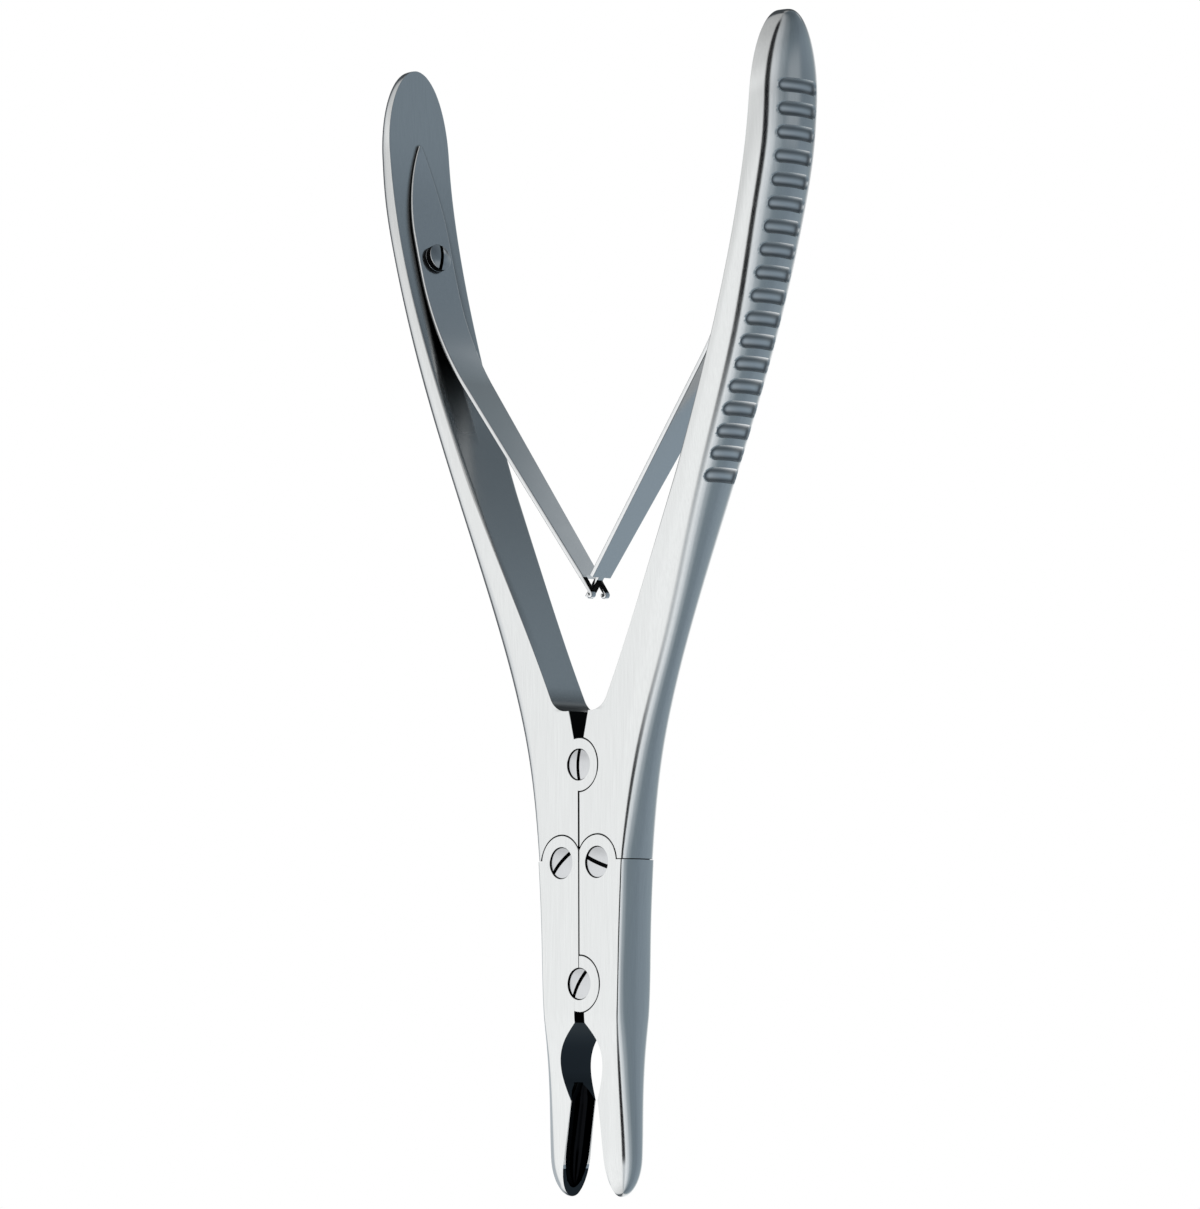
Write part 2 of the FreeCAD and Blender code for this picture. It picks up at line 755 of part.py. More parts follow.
def bound_loop(sketch, corners):
    """A closed loop of straight edges whose corners are bound to expressions."""
    count = len(corners)
    first_guess = [(index % 2 + 1.0, index + 1.0) for index in range(count)]
    for index in range(count):
        start = Vector(*first_guess[index], 0)
        end = Vector(*first_guess[(index + 1) % count], 0)
        sketch.addGeometry(Part.LineSegment(start, end), False)
    for index in range(count):
        sketch.addConstraint(Sketcher.Constraint("Coincident", index, 2, (index + 1) % count, 1))
    for index, (across, up) in enumerate(corners):
        for kind, label, rule, guess in (
                ("DistanceX", "across", across, first_guess[index][0]),
                ("DistanceY", "up", up, first_guess[index][1])):
            number = sketch.addConstraint(Sketcher.Constraint(kind, -1, 1, index, 1, guess))
            name = "%s_%d" % (label, index)
            sketch.renameConstraint(number, name)
            sketch.setExpression("Constraints." + name, rule)


def make_screw(name, head_radius, head_height, dome, shank_radius, shank_length, slot_angle):
    """A slotted screw that stands with the underside of its head at its own origin."""
    body = doc.addObject("PartDesign::Body", name)
    profile = body.newObject("Sketcher::SketchObject", name + "_profile")
    profile.AttachmentSupport = [(plane_of(body, "XZ_Plane"), "")]
    profile.MapMode = "FlatFace"
    bound_loop(profile, [
        ("0", "-(%s)" % shank_length),
        (shank_radius, "-(%s)" % shank_length),
        (shank_radius, "0"),
        (head_radius, "0"),
        (head_radius, "%s - %s" % (head_height, dome)),
        ("0.8 * %s" % head_radius, "%s - 0.36 * %s" % (head_height, dome)),
        ("0.4 * %s" % head_radius, "%s - 0.08 * %s" % (head_height, dome)),
        ("0", head_height),
    ])
    doc.recompute()
    turned = body.newObject("PartDesign::Revolution", name + "_turned")
    turned.Profile = profile
    turned.ReferenceAxis = (profile, ["V_Axis"])
    turned.Angle = 360
    doc.recompute()
    mark = body.newObject("Sketcher::SketchObject", name + "_slot_outline")
    mark.AttachmentSupport = [(plane_of(body, "XY_Plane"), "")]
    mark.MapMode = "FlatFace"
    half_slot = "Sizes.screw_slot_width / 2"
    reach = "1.2 * %s" % head_radius
    bound_loop(mark, [
        ("-(%s)" % reach, "-(%s)" % half_slot),
        (reach, "-(%s)" % half_slot),
        (reach, half_slot),
        ("-(%s)" % reach, half_slot),
    ])
    mark.setExpression("AttachmentOffset.Base.z", "%s - Sizes.screw_slot_depth" % head_height)
    mark.AttachmentOffset = Placement(Vector(0, 0, 0), Rotation(Vector(0, 0, 1), slot_angle))
    doc.recompute()
    slot = body.newObject("PartDesign::Pocket", name + "_slot")
    slot.Profile = mark
    slot.setExpression("Length", "2 * Sizes.screw_slot_depth")
    slot.Reversed = True
    doc.recompute()
    return body


def make_pivot_screw(name, centre, slot_angle):
    """A pivot screw with its head sunk in the front ear and its end flush at the back."""
    body = make_screw(name, "Sizes.pivot_head_radius",
                      "(Sizes.pivot_head_height + Sizes.pivot_head_dome / 2)",
                      "Sizes.pivot_head_dome", "Sizes.pivot_shank_radius",
                      "(Sizes.lock_thickness - Sizes.pivot_head_height)", slot_angle)
    body.Placement = Placement(
        Vector(centre.x, centre.y, half_lock - size("pivot_head_height")), Rotation())
    return body


def make_spring_screw(side, name, slot_angle):
    """The screw that clamps a leaf to the handle's inner face."""
    body = make_screw(name, "Sizes.spring_screw_head_radius", "Sizes.spring_screw_head_height",
                      "Sizes.pivot_head_dome", "Sizes.spring_screw_shank_radius",
                      "(Sizes.spring_screw_depth + Sizes.leaf_thickness)", slot_angle)
    start, inward = spring_screw_axis(side)
    lift = size("leaf_thickness") + 2 * size("leaf_seat_gap")
    body.Placement = Placement(start - inward * lift, Rotation(Vector(0, 0, 1), inward * -1))
    return body


# The leaf springs

def leaf_path():
    """The leaf's middle line on the right side: seat, bend and straight run to the crossing.

    It returns the seat's points from tip to lift, the bend's centre and ends, and the
    crossing point in the middle plane.
    """
    stand_off = size("leaf_seat_gap") + size("leaf_thickness") / 2
    seat = []
    steps = 5
    for number in range(steps + 1):
        along = size("leaf_tip_along") + number / steps * (size("leaf_lift_along")
                                                           - size("leaf_tip_along"))
        face, direction = on_inner_face(along)
        seat.append(face - Vector(direction.y, -direction.x, 0) * stand_off)
    face, direction = on_inner_face(size("leaf_lift_along"))
    down = direction * -1
    toward_middle = Vector(-direction.y, direction.x, 0)
    radius = size("leaf_bend_radius")
    centre = seat[-1] + toward_middle * radius
    crossing = Vector(0, size("leaf_cross_along"), 0)
    # The straight run touches the bend's circle: the tangent from the crossing point
    to_cross = crossing - centre
    spread = math.acos(radius / to_cross.Length)
    base = math.atan2(to_cross.y, to_cross.x)
    options = [centre + Vector(math.cos(base + turn), math.sin(base + turn), 0) * radius
               for turn in (spread, -spread)]
    touch = min(options, key=lambda point: abs((crossing - point).normalize().dot(down) - 1)
                + (point - seat[-1]).Length / radius)
    return seat, down, centre, touch, crossing


seat_points, lift_direction, bend_centre, bend_end, crossing_point = leaf_path()
bend_start = seat_points[-1]
run_direction = (crossing_point - bend_end).normalize()


def on_bend(share):
    """A point of the bend's middle line, as a share of the way round it."""
    first = math.atan2(bend_start.y - bend_centre.y, bend_start.x - bend_centre.x)
    last = math.atan2(bend_end.y - bend_centre.y, bend_end.x - bend_centre.x)
    angle = first + share * ((last - first + math.pi) % (2 * math.pi) - math.pi)
    return bend_centre + Vector(math.cos(angle), math.sin(angle), 0) * size("leaf_bend_radius")


hinge_point = on_bend(size("leaf_hinge_share"))


def offset_edges(points, directions, shift):
    """Points moved sideways from a path by a distance."""
    return [point + Vector(-heading.y, heading.x, 0) * shift
            for point, heading in zip(points, directions)]


def strip(points, directions, height):
    """A strip of the leaf's thickness along a smooth path, as wide as a given height."""
    half = size("leaf_thickness") / 2
    one = offset_edges(points, directions, half)
    two = offset_edges(points, directions, -half)
    wire = Part.Wire([
        spline(one).toShape(),
        Part.LineSegment(one[-1], two[-1]).toShape(),
        spline(two).toShape(),
        Part.LineSegment(two[0], one[0]).toShape(),
    ])
    solid = Part.Face(wire).extrude(Vector(0, 0, height))
    solid.translate(Vector(0, 0, -height / 2))
    return solid


def bend_points(first, last):
    """Points and directions along a stretch of the bend."""
    shares = [first + (last - first) * number / 6 for number in range(7)]
    points = [on_bend(share) for share in shares]
    radii = [(point - bend_centre).normalize() for point in points]
    turn = 1 if radii[0].cross(lift_direction).z > 0 else -1
    return points, [Vector(-turn * radius.y, turn * radius.x, 0) for radius in radii]


def side_of(shape, side):
    """The shape itself for the right side, or its mirror image for the left."""
    return shape.mirror(Vector(0, 0, 0), Vector(1, 0, 0)) if side == LEFT else shape


def make_leaf_foot(side, name):
    """The part of a leaf that lies clamped on the handle, cut to a lancet shape."""
    headings = [on_inner_face(point.y)[1] * -1 for point in seat_points]
    run, run_headings = bend_points(0, size("leaf_hinge_share"))
    gap = size("leaf_thickness") / 2 + size("leaf_hinge_gap")
    run[-1] = run[-1] - run_headings[-1] * gap
    points = seat_points + run[1:]
    plate = strip(points, headings + run_headings[1:], size("leaf_foot_width"))

    # Lancet outline seen from the middle plane: a pointed oval, then straight sides
    half = size("leaf_foot_width") / 2
    tip = size("leaf_tip_along")
    widest = size("spring_screw_along") + size("leaf_widest_above_screw")
    shoulder = (tip + widest) / 2 + (size("leaf_lancet_share") - 0.5) * (tip - widest)
    across = size("leaf_lancet_share") * half
    foot = hinge_point.y - beyond
    root = leaf_width_at(0) / 2
    outline = [
        Part.Arc(Vector(0, tip, 0), Vector(0, shoulder, across),
                 Vector(0, widest, half)).toShape(),
        Part.LineSegment(Vector(0, widest, half), Vector(0, bend_start.y, half)).toShape(),
        Part.LineSegment(Vector(0, bend_start.y, half), Vector(0, hinge_point.y, root)).toShape(),
        Part.LineSegment(Vector(0, hinge_point.y, root), Vector(0, foot, root)).toShape(),
        Part.LineSegment(Vector(0, foot, root), Vector(0, foot, -root)).toShape(),
        Part.LineSegment(Vector(0, foot, -root), Vector(0, hinge_point.y, -root)).toShape(),
        Part.LineSegment(Vector(0, hinge_point.y, -root), Vector(0, bend_start.y, -half)).toShape(),
        Part.LineSegment(Vector(0, bend_start.y, -half), Vector(0, widest, -half)).toShape(),
        Part.Arc(Vector(0, widest, -half), Vector(0, shoulder, -across),
                 Vector(0, tip, 0)).toShape(),
    ]
    lancet = bent_plate(outline, Vector(far_across, 0, 0))
    shaped = keep(name + "_plate", side_of(plate.common(lancet), side))
    start, inward = spring_screw_axis(side)
    hole = doc.addObject("Part::Cylinder", name + "_hole")
    hole.setExpression("Radius", "Sizes.spring_screw_shank_radius + Sizes.fixed_play")
    hole.Height = 2 * beyond
    hole.Placement = Placement(start - inward * beyond, Rotation(Vector(0, 0, 1), inward))
    return cut(name, shaped, hole)


def leaf_width_at(share):
    """The leaf's width along its free arm, from the hinge (0) to the fork (1)."""
    root = size("leaf_root_share")
    loss = size("leaf_foot_width") - size("leaf_end_width")
    return size("leaf_foot_width") - loss * (root + (1 - root) * share)


def make_leaf_arm(side, name):
    """The free arm of a leaf. The left ends in a fork, the right in a tongue."""
    thickness = size("leaf_thickness")
    points, headings = bend_points(size("leaf_hinge_share"), 1)
    plate = strip(points, headings, size("leaf_foot_width"))
    run = (crossing_point - bend_end).Length
    shoulder = run - size("fork_root_distance")
    body = run_block(bend_end, 0, shoulder, size("leaf_foot_width"))
    knuckle = Part.makeCylinder(thickness / 2, size("leaf_foot_width"),
                                hinge_point - Vector(0, 0, size("leaf_foot_width") / 2))
    blank = plate.fuse([body, knuckle])

    # Taper: two wedges come off the edges, from full width at the hinge to the shoulder
    whole = (bend_end - hinge_point).Length + shoulder
    reach = whole + thickness
    half_start = leaf_width_at(0) / 2
    half_end = size("leaf_end_width") / 2
    wedge = [Vector(-thickness, half_start, 0), Vector(reach, half_end, 0),
             Vector(reach, half_start + beyond, 0), Vector(-thickness, half_start + beyond, 0)]
    for flip in (1, -1):
        corners = [along_run(hinge_point, point.x, 0) + Vector(0, 0, flip * point.y)
                   for point in wedge]
        sideways = Vector(-run_direction.y, run_direction.x, 0) * beyond
        blank = blank.cut(prism([corner - sideways for corner in corners], sideways * 2))

    # The end that interlocks with the other leaf
    end = shoulder + size("fork_root_distance")
    if side == LEFT:
        prong = (size("leaf_end_width") - size("fork_slot_width")) / 2
        middle = (size("leaf_end_width") + size("fork_slot_width")) / 4
        tips = []
        for flip in (1, -1):
            stem = run_block(bend_end, shoulder - thickness, end + size("fork_reach"), prong)
            curl_at = along_run(bend_end, end + size("fork_reach"), 0)
            curl = Part.makeCylinder(size("prong_curl_radius"), prong,
                                     curl_at - Vector(0, 0, prong / 2))
            for piece in (stem, curl):
                piece.translate(Vector(0, 0, flip * middle))
                tips.append(piece)
    else:
        tips = [run_block(bend_end, shoulder - thickness, end + size("tongue_reach"),
                          size("tongue_width"))]
    whole_arm = blank.fuse(tips).removeSplitter()
    return keep(name, side_of(whole_arm, side))


def along_run(start, distance, shift):
    """A point at a distance along the straight run, moved sideways."""
    return start + run_direction * distance + Vector(-run_direction.y, run_direction.x, 0) * shift


def run_block(start, first, last, width):
    """A flat bar of the leaf's thickness along the straight run."""
    half = size("leaf_thickness") / 2
    corners = [along_run(start, first, half), along_run(start, last, half),
               along_run(start, last, -half), along_run(start, first, -half)]
    solid = prism(corners, Vector(0, 0, width))
    solid.translate(Vector(0, 0, -width / 2))
    return solid


# Make every piece

pieces = {
    "left_handle": make_handle(LEFT, "left_handle"),
    "right_handle": make_handle(RIGHT, "right_handle"),
    "left_jaw": make_jaw(LEFT, "left_jaw"),
    "right_jaw": make_jaw(RIGHT, "right_jaw"),
    "handle_pivot_screw": make_pivot_screw("handle_pivot_screw", Vector(0, 0, 0), 88),
    "left_link_screw": make_pivot_screw("left_link_screw", link_point(LEFT), 40),
    "right_link_screw": make_pivot_screw("right_link_screw", link_point(RIGHT), -20),
    "jaw_pivot_screw": make_pivot_screw("jaw_pivot_screw", jaw_pivot, 55),
    "left_spring_foot": make_leaf_foot(LEFT, "left_spring_foot"),
    "right_spring_foot": make_leaf_foot(RIGHT, "right_spring_foot"),
    "left_spring_arm": make_leaf_arm(LEFT, "left_spring_arm"),
    "right_spring_arm": make_leaf_arm(RIGHT, "right_spring_arm"),
    "left_spring_screw": make_spring_screw(LEFT, "left_spring_screw", 80),
    "right_spring_screw": make_spring_screw(RIGHT, "right_spring_screw", 75),
}
doc.recompute()

# Into the row's frame: the grips lie on Z = 0 and the length is centred on Y = 0
middle_along = (handle_end_along + size("jaw_tip_along")) / 2
move = Vector(0, -middle_along, size("grip_half_width"))
for name, piece in pieces.items():
    piece.Label = name
    if piece.TypeId == "PartDesign::Body":
        piece.Placement = Placement(piece.Placement.Base + move, piece.Placement.Rotation)
    else:
        piece.Placement = Placement(move, Rotation())

for item in doc.Objects:
    if "Invalid" in item.State or "Error" in item.State:
        raise RuntimeError("%s failed: %s" % (item.Name, item.State))
for name, piece in pieces.items():
    shape = piece.Shape
    if shape.isNull() or not shape.isValid() or len(shape.Solids) != 1:
        raise RuntimeError("%s is not one valid solid (%d)" % (name, len(shape.Solids)))

os.makedirs("parts", exist_ok=True)
for name, piece in pieces.items():
    piece.Shape.exportStep("parts/%s.step" % name)
    box = piece.Shape.BoundBox
    print("%-20s volume %9.2f  x %.2f..%.2f  y %.2f..%.2f  z %.2f..%.2f" % (
        name, piece.Shape.Volume, box.XMin, box.XMax, box.YMin, box.YMax, box.ZMin, box.ZMax))
hinge_row = hinge_point + move
print("leaf hinge at x %.3f y %.3f, crossing at y %.3f, move %.3f" % (
    hinge_row.x, hinge_row.y, crossing_point.y + move.y, move.y))
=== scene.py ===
# %% [markdown]
# # A bone rongeur in stainless steel
#
# This lesson dresses a double-action bone rongeur: two grooved handles, two cup jaws, four
# slotted pivot screws and two leaf springs that cross. The shapes have to agree with a
# model made elsewhere, so that model is loaded first, and everything is built in its frame:
# X runs across the handles, Y along the instrument towards the handle ends, Z up through
# its thickness. Blender works in metres, and a maker thinks in millimetres, so every size
# below is written in millimetres and turned to metres at the last moment.

# %% Load the frame
import bmesh
import bpy
import math
from mathutils import Euler, Matrix, Vector


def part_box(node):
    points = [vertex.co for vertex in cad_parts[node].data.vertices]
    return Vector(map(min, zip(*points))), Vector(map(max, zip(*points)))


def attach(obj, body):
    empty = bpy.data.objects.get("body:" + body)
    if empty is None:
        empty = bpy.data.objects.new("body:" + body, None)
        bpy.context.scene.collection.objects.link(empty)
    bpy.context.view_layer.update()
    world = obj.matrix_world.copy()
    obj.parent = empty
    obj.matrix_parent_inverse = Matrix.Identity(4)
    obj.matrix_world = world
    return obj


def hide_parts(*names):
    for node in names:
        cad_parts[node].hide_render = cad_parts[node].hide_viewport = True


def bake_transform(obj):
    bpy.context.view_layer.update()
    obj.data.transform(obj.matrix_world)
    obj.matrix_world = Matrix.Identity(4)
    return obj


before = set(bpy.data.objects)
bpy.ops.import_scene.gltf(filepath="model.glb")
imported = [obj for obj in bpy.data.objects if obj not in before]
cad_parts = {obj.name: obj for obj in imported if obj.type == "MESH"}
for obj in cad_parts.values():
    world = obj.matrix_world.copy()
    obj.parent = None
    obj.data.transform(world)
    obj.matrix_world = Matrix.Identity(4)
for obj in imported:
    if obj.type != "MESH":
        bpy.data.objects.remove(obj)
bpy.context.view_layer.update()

# %% [markdown]
# ## Where the pivots are
#
# The screws and the lock give the places that everything else hangs on. They are read from
# the loaded nodes, so the lesson still fits if the model changes a little.

# %% Measure the lock
def middle_of(node):
    """The centre of a node's box, in millimetres."""
    low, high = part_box(node)
    return (low + high) * 500


def reach_of(node):
    """The lowest and highest corner of a node's box, in millimetres."""
    low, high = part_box(node)
    return low * 1000, high * 1000


handle_pivot = middle_of("handle_pivot_screw")
jaw_pivot = middle_of("jaw_pivot_screw")
link_pivot = middle_of("right_link_screw")
lock_low, lock_high = reach_of("left_jaw")
half_lock = (lock_high.z - lock_low.z) / 2
middle_z = (lock_high.z + lock_low.z) / 2
origin_y = handle_pivot.y
handle_end = reach_of("right_handle")[1].y - origin_y
jaw_tip = lock_low.y - origin_y
print("pivots at y", round(origin_y, 2), round(link_pivot.y, 2), round(jaw_pivot.y, 2),
      "half lock", round(half_lock, 2), "ends", round(jaw_tip, 2), round(handle_end, 2))

# %% [markdown]
# ## Curves through a few measured points
#
# A forged handle has no straight edge and no exact arc: a smith's eye draws one even curve
# through a few stations. A cubic spline does the same. The curves could be drawn by hand
# with Bezier handles, but a small function that bends evenly through measured stations
# keeps every number a real size.

# %% A smooth curve as a function
def smooth_curve(points, level_ends=False):
    """A function that passes evenly through (position, value) pairs."""
    xs = [p[0] for p in points]
    ys = [p[1] for p in points]
    count = len(points)
    gaps = [xs[i + 1] - xs[i] for i in range(count - 1)]
    slopes = [(ys[i + 1] - ys[i]) / gaps[i] for i in range(count - 1)]
    below = [0.0] * count
    main = [1.0] * count
    above = [0.0] * count
    right = [0.0] * count
    for i in range(1, count - 1):
        below[i] = gaps[i - 1]
        main[i] = 2 * (gaps[i - 1] + gaps[i])
        above[i] = gaps[i]
        right[i] = 6 * (slopes[i] - slopes[i - 1])
    if level_ends:
        main[0], above[0], right[0] = 2 * gaps[0], gaps[0], 6 * slopes[0]
        below[-1], main[-1], right[-1] = gaps[-1], 2 * gaps[-1], -6 * slopes[-1]
    for i in range(1, count):
        share = below[i] / main[i - 1]
        main[i] -= share * above[i - 1]
        right[i] -= share * right[i - 1]
    bend = [0.0] * count
    bend[-1] = right[-1] / main[-1]
    for i in range(count - 2, -1, -1):
        bend[i] = (right[i] - above[i] * bend[i + 1]) / main[i]

    def value(x):
        if x <= xs[0]:
            slope = slopes[0] - gaps[0] * (2 * bend[0] + bend[1]) / 6
            return ys[0] + slope * (x - xs[0])
        if x >= xs[-1]:
            slope = slopes[-1] + gaps[-1] * (bend[-2] + 2 * bend[-1]) / 6
            return ys[-1] + slope * (x - xs[-1])
        i = max(k for k in range(count - 1) if xs[k] <= x)
        a, b, g = x - xs[i], xs[i + 1] - x, gaps[i]
        return ((bend[i] * b ** 3 + bend[i + 1] * a ** 3) / (6 * g)
                + (ys[i] / g - bend[i] * g / 6) * b + (ys[i + 1] / g - bend[i + 1] * g / 6) * a)

    return value


def between(low, high, x):
    """How far x is from low to high, eased at both ends."""
    share = min(1.0, max(0.0, (x - low) / (high - low)))
    return share * share * (3 - 2 * share)


print("halfway up an eased step:", between(0, 10, 5))

# %% [markdown]
# ## Metal from a few honest parts
#
# Each finish below is one Principled shader with its base colour, metallic and roughness at
# plain values, and a few noise patterns on top of them. One helper adds any node with its
# settings and links, so the material cells stay short.

# %% Helpers for materials
def linear(colour):
    """A hex sRGB colour as linear values for a shader."""
    parts = [int(colour[i:i + 2], 16) / 255 for i in (1, 3, 5)]
    return [p / 12.92 if p <= 0.04045 else ((p + 0.055) / 1.055) ** 2.4 for p in parts] + [1.0]


def add(tree, kind, settings=None, inputs=None):
    """Add a node, set its properties, and set or link its inputs.

    A node that is given as an input stands for its first output.
    """
    made = tree.nodes.new(kind)
    for name, value in (settings or {}).items():
        setattr(made, name, value)
    for name, value in (inputs or {}).items():
        socket = made.inputs[name]
        if isinstance(value, bpy.types.Node):
            value = value.outputs[0]
        if isinstance(value, bpy.types.NodeSocket):
            tree.links.new(value, socket)
        else:
            socket.default_value = value
    return made


def new_material(name):
    """An empty node material and its tree."""
    made = bpy.data.materials.new(name)
    made.use_nodes = True
    made.node_tree.nodes.clear()
    return made, made.node_tree


print("middle grey in linear light:", round(linear("#808080")[0], 3))

# %% [markdown]
# ## One steel for all pieces
#
# Belted or brushed stainless steel is full of fine parallel lines, with cloudy patches where
# hands and polishing wheels went. A picture of brushed metal could be wrapped round each
# piece. Noise that is drawn out along the instrument needs no wrapping, and its grain keeps
# its real size. Where a piece has another finish, or painted shade or a painted highlight, an
# attribute of its mesh says so, and the material mixes it in.

# %% The steel
LINE_STRETCH = 40
LINE_DEPTH = 0.00001
# Seven clouds to 50 mm
CLOUD_MM = 50 / 7
CLOUD_ROUGHNESS = 0.02
DARK_LINE = 0.965
LIGHT_LINE = 1.02
WALL_SHADE_GAIN = 4.6
RIM_HIGHLIGHT_METALLIC = 0.15


def steel(name, colour, roughness, line_mm, line_strength, groove=None, mirror=None):
    """Stainless steel whose satin lines run along the instrument."""
    made, tree = new_material(name)
    place = add(tree, "ShaderNodeTexCoord").outputs["Object"]
    # Scratches: noise drawn out along Y
    wide = 1000 / line_mm
    drawn = add(tree, "ShaderNodeMapping", {}, {
        "Vector": place, "Scale": (wide, wide / LINE_STRETCH, wide)})
    lines = add(tree, "ShaderNodeTexNoise", {}, {
        "Vector": drawn, "Scale": 1.0, "Detail": 3.0, "Roughness": 0.6}).outputs["Fac"]
    # Clouds of handling and polishing
    clouds = add(tree, "ShaderNodeTexNoise", {}, {
        "Vector": place, "Scale": 1000 / CLOUD_MM, "Detail": 3.0,
        "Roughness": 0.55}).outputs["Fac"]
    both = add(tree, "ShaderNodeMath", {"operation": "ADD"}, {0: clouds, 1: lines})
    rough_out = add(tree, "ShaderNodeMapRange", {}, {
        "Value": both, "From Min": 0.7, "From Max": 1.3,
        "To Min": roughness - CLOUD_ROUGHNESS, "To Max": roughness + CLOUD_ROUGHNESS})
    streaks = add(tree, "ShaderNodeMapRange", {}, {
        "Value": lines, "From Min": 0.35, "From Max": 0.65, "To Min": 0.0, "To Max": 1.0})
    base = linear(colour)[:3]
    colour_out = add(tree, "ShaderNodeMix", {"data_type": "RGBA"}, {
        "Factor": streaks, "A": [v * DARK_LINE for v in base] + [1.0],
        "B": [min(1.0, v * LIGHT_LINE) for v in base] + [1.0]}).outputs["Result"]
    bump = add(tree, "ShaderNodeBump", {}, {
        "Height": lines, "Strength": line_strength, "Distance": LINE_DEPTH})
    shader = add(tree, "ShaderNodeBsdfPrincipled", {}, {"Metallic": 1.0, "Normal": bump})

    def zone(attribute, colour_there, rough_there, where=None):
        """Another finish, or painted shade or highlight, where an attribute of the mesh, or a value
        made from it, is 1.
        """
        nonlocal colour_out, rough_out
        if where is None:
            where = add(tree, "ShaderNodeAttribute", {"attribute_name": attribute}).outputs["Fac"]
        colour_out = add(tree, "ShaderNodeMix", {"data_type": "RGBA"}, {
            "Factor": where, "A": colour_out, "B": linear(colour_there)}).outputs["Result"]
        rough_out = add(tree, "ShaderNodeMix", {"data_type": "FLOAT"}, {
            "Factor": where, "A": rough_out, "B": rough_there}).outputs["Result"]

    if groove:
        # The pressed grooves keep the dull, grainy skin of the forging
        zone("groove_floor", groove, 0.45)
        # Painted shade on their walls, half sunk, which are turned away from the light
        sunk = add(tree, "ShaderNodeAttribute", {"attribute_name": "groove_floor"}).outputs["Fac"]
        rest = add(tree, "ShaderNodeMath", {"operation": "SUBTRACT"}, {0: 1.0, 1: sunk})
        wall = add(tree, "ShaderNodeMath", {"operation": "MULTIPLY"}, {0: sunk, 1: sunk})
        wall = add(tree, "ShaderNodeMath", {"operation": "MULTIPLY"}, {0: wall, 1: rest})
        wall = add(tree, "ShaderNodeMath", {"operation": "MULTIPLY"}, {0: wall, 1: WALL_SHADE_GAIN})
        zone("groove_floor", "#33393d", 0.5, wall)
        # Painted shade beside and under the leaf spring, and in the crotch
        zone("leaf_shade", "#0a0b0c", 0.4)
    if mirror:
        # The cup and window are polished by hand to a mirror; painted shade darkens them, the
        # cup's trough most, for the dark inside of the bite that they mirror
        zone("hollow", mirror, 0.07)
        zone("cup", "#0d0e10", 0.07)
        # The cutting rim is ground; its pale, nearly matt colour is a painted highlight that stays
        # light from every side
        zone("rim", "#f2f4f4", 0.5)
        ground = add(tree, "ShaderNodeAttribute", {"attribute_name": "rim"}).outputs["Fac"]
        metal = add(tree, "ShaderNodeMapRange", {}, {
            "Value": ground, "From Min": 0.0, "From Max": 1.0,
            "To Min": 1.0, "To Max": RIM_HIGHLIGHT_METALLIC})
        tree.links.new(metal.outputs["Result"], shader.inputs["Metallic"])
    # Painted shade darkens the fine gaps of the lock, the screw slots and head sides, and the
    # leaves' crossing
    zone("painted_gap_shade", "#0d0d0e", 0.6)
    tree.links.new(colour_out, shader.inputs["Base Color"])
    tree.links.new(rough_out, shader.inputs["Roughness"])
    add(tree, "ShaderNodeOutputMaterial", {}, {"Surface": shader})
    print("finish:", name)
    return made


# %% [markdown]
# ## The finishes
#
# Surgical steel is martensitic stainless. The handles are belt-finished to satin, the jaws
# are polished finer, the screws are turned bright and the leaves are cold-rolled spring
# steel with a brushed face. Real satin lines are a few hundredths of a millimetre wide.
# They are drawn here a seventh to a quarter of a millimetre wide so that they show.

# %% Make the finishes
# Belted forging: a soft mirror with faint streaks along the handle, dull grooves, and painted
# shade in the groove walls and beside the leaf
satin_steel = steel("satin_stainless_handles", "#d9dbdb", 0.15, 0.24, 0.08, groove="#dfe3e6")
# Finer polish: clearer reflections, painted shade in the hollow between the jaws, and a
# cutting rim painted pale as a highlight
jaw_steel = steel("polished_stainless_jaws", "#d9dbdb", 0.12, 0.2, 0.06, mirror="#3a3f43")
# Turned bar: bright heads that pick up the cards of the studio
screw_steel = steel("turned_stainless_screws", "#c6c8ca", 0.16, 0.14, 0.08)
# Rolled strip: even and a little softer, so that its faces take one flat tone each
leaf_steel = steel("brushed_spring_steel", "#dcdedf", 0.17, 0.2, 0.1)

# %% [markdown]
# ## Tools of the bench
#
# The handles and jaws start as one grid of quads: rows along the piece, and in each row the
# same ring of points round the section. Cutters and discs with a small chamfer then cut the
# layered joints with Boolean modifiers, as a milling machine does on the forging. A bevel
# modifier after a Boolean tends to fail on tiny edges, so the chamfers are on the tools.

# %% Grids and turned tools
def metres(x, along, z):
    """A point in the frame, from millimetres across, along from the handle pivot, and thick."""
    return Vector((x / 1000, (along + origin_y) / 1000, (z + middle_z) / 1000))


def mesh_object(name, points, faces, material):
    """A new object at the origin whose place is in its mesh."""
    mesh = bpy.data.meshes.new(name)
    mesh.from_pydata([metres(*p) for p in points], [], faces)
    mesh.update()
    made = bpy.data.objects.new(name, mesh)
    bpy.context.scene.collection.objects.link(made)
    mesh.materials.append(material)
    for face in mesh.polygons:
        face.use_smooth = True
    return made


def ring_grid(name, rings, material, side=1):
    """Skin a list of rings of points, each with the same count, and close both ends."""
    count = len(rings[0])
    points = [(side * x, a, z) for ring in rings for x, a, z in ring]
    faces = []
    for r in range(len(rings) - 1):
        for c in range(count):
            d = (c + 1) % count
            quad = [r * count + c, r * count + d, (r + 1) * count + d, (r + 1) * count + c]
            faces.append(quad if side > 0 else quad[::-1])
    first = list(range(count))[::-1]
    last = [(len(rings) - 1) * count + c for c in range(count)]
    faces.append(first if side > 0 else first[::-1])
    faces.append(last if side > 0 else last[::-1])
    return mesh_object(name, points, faces, material)


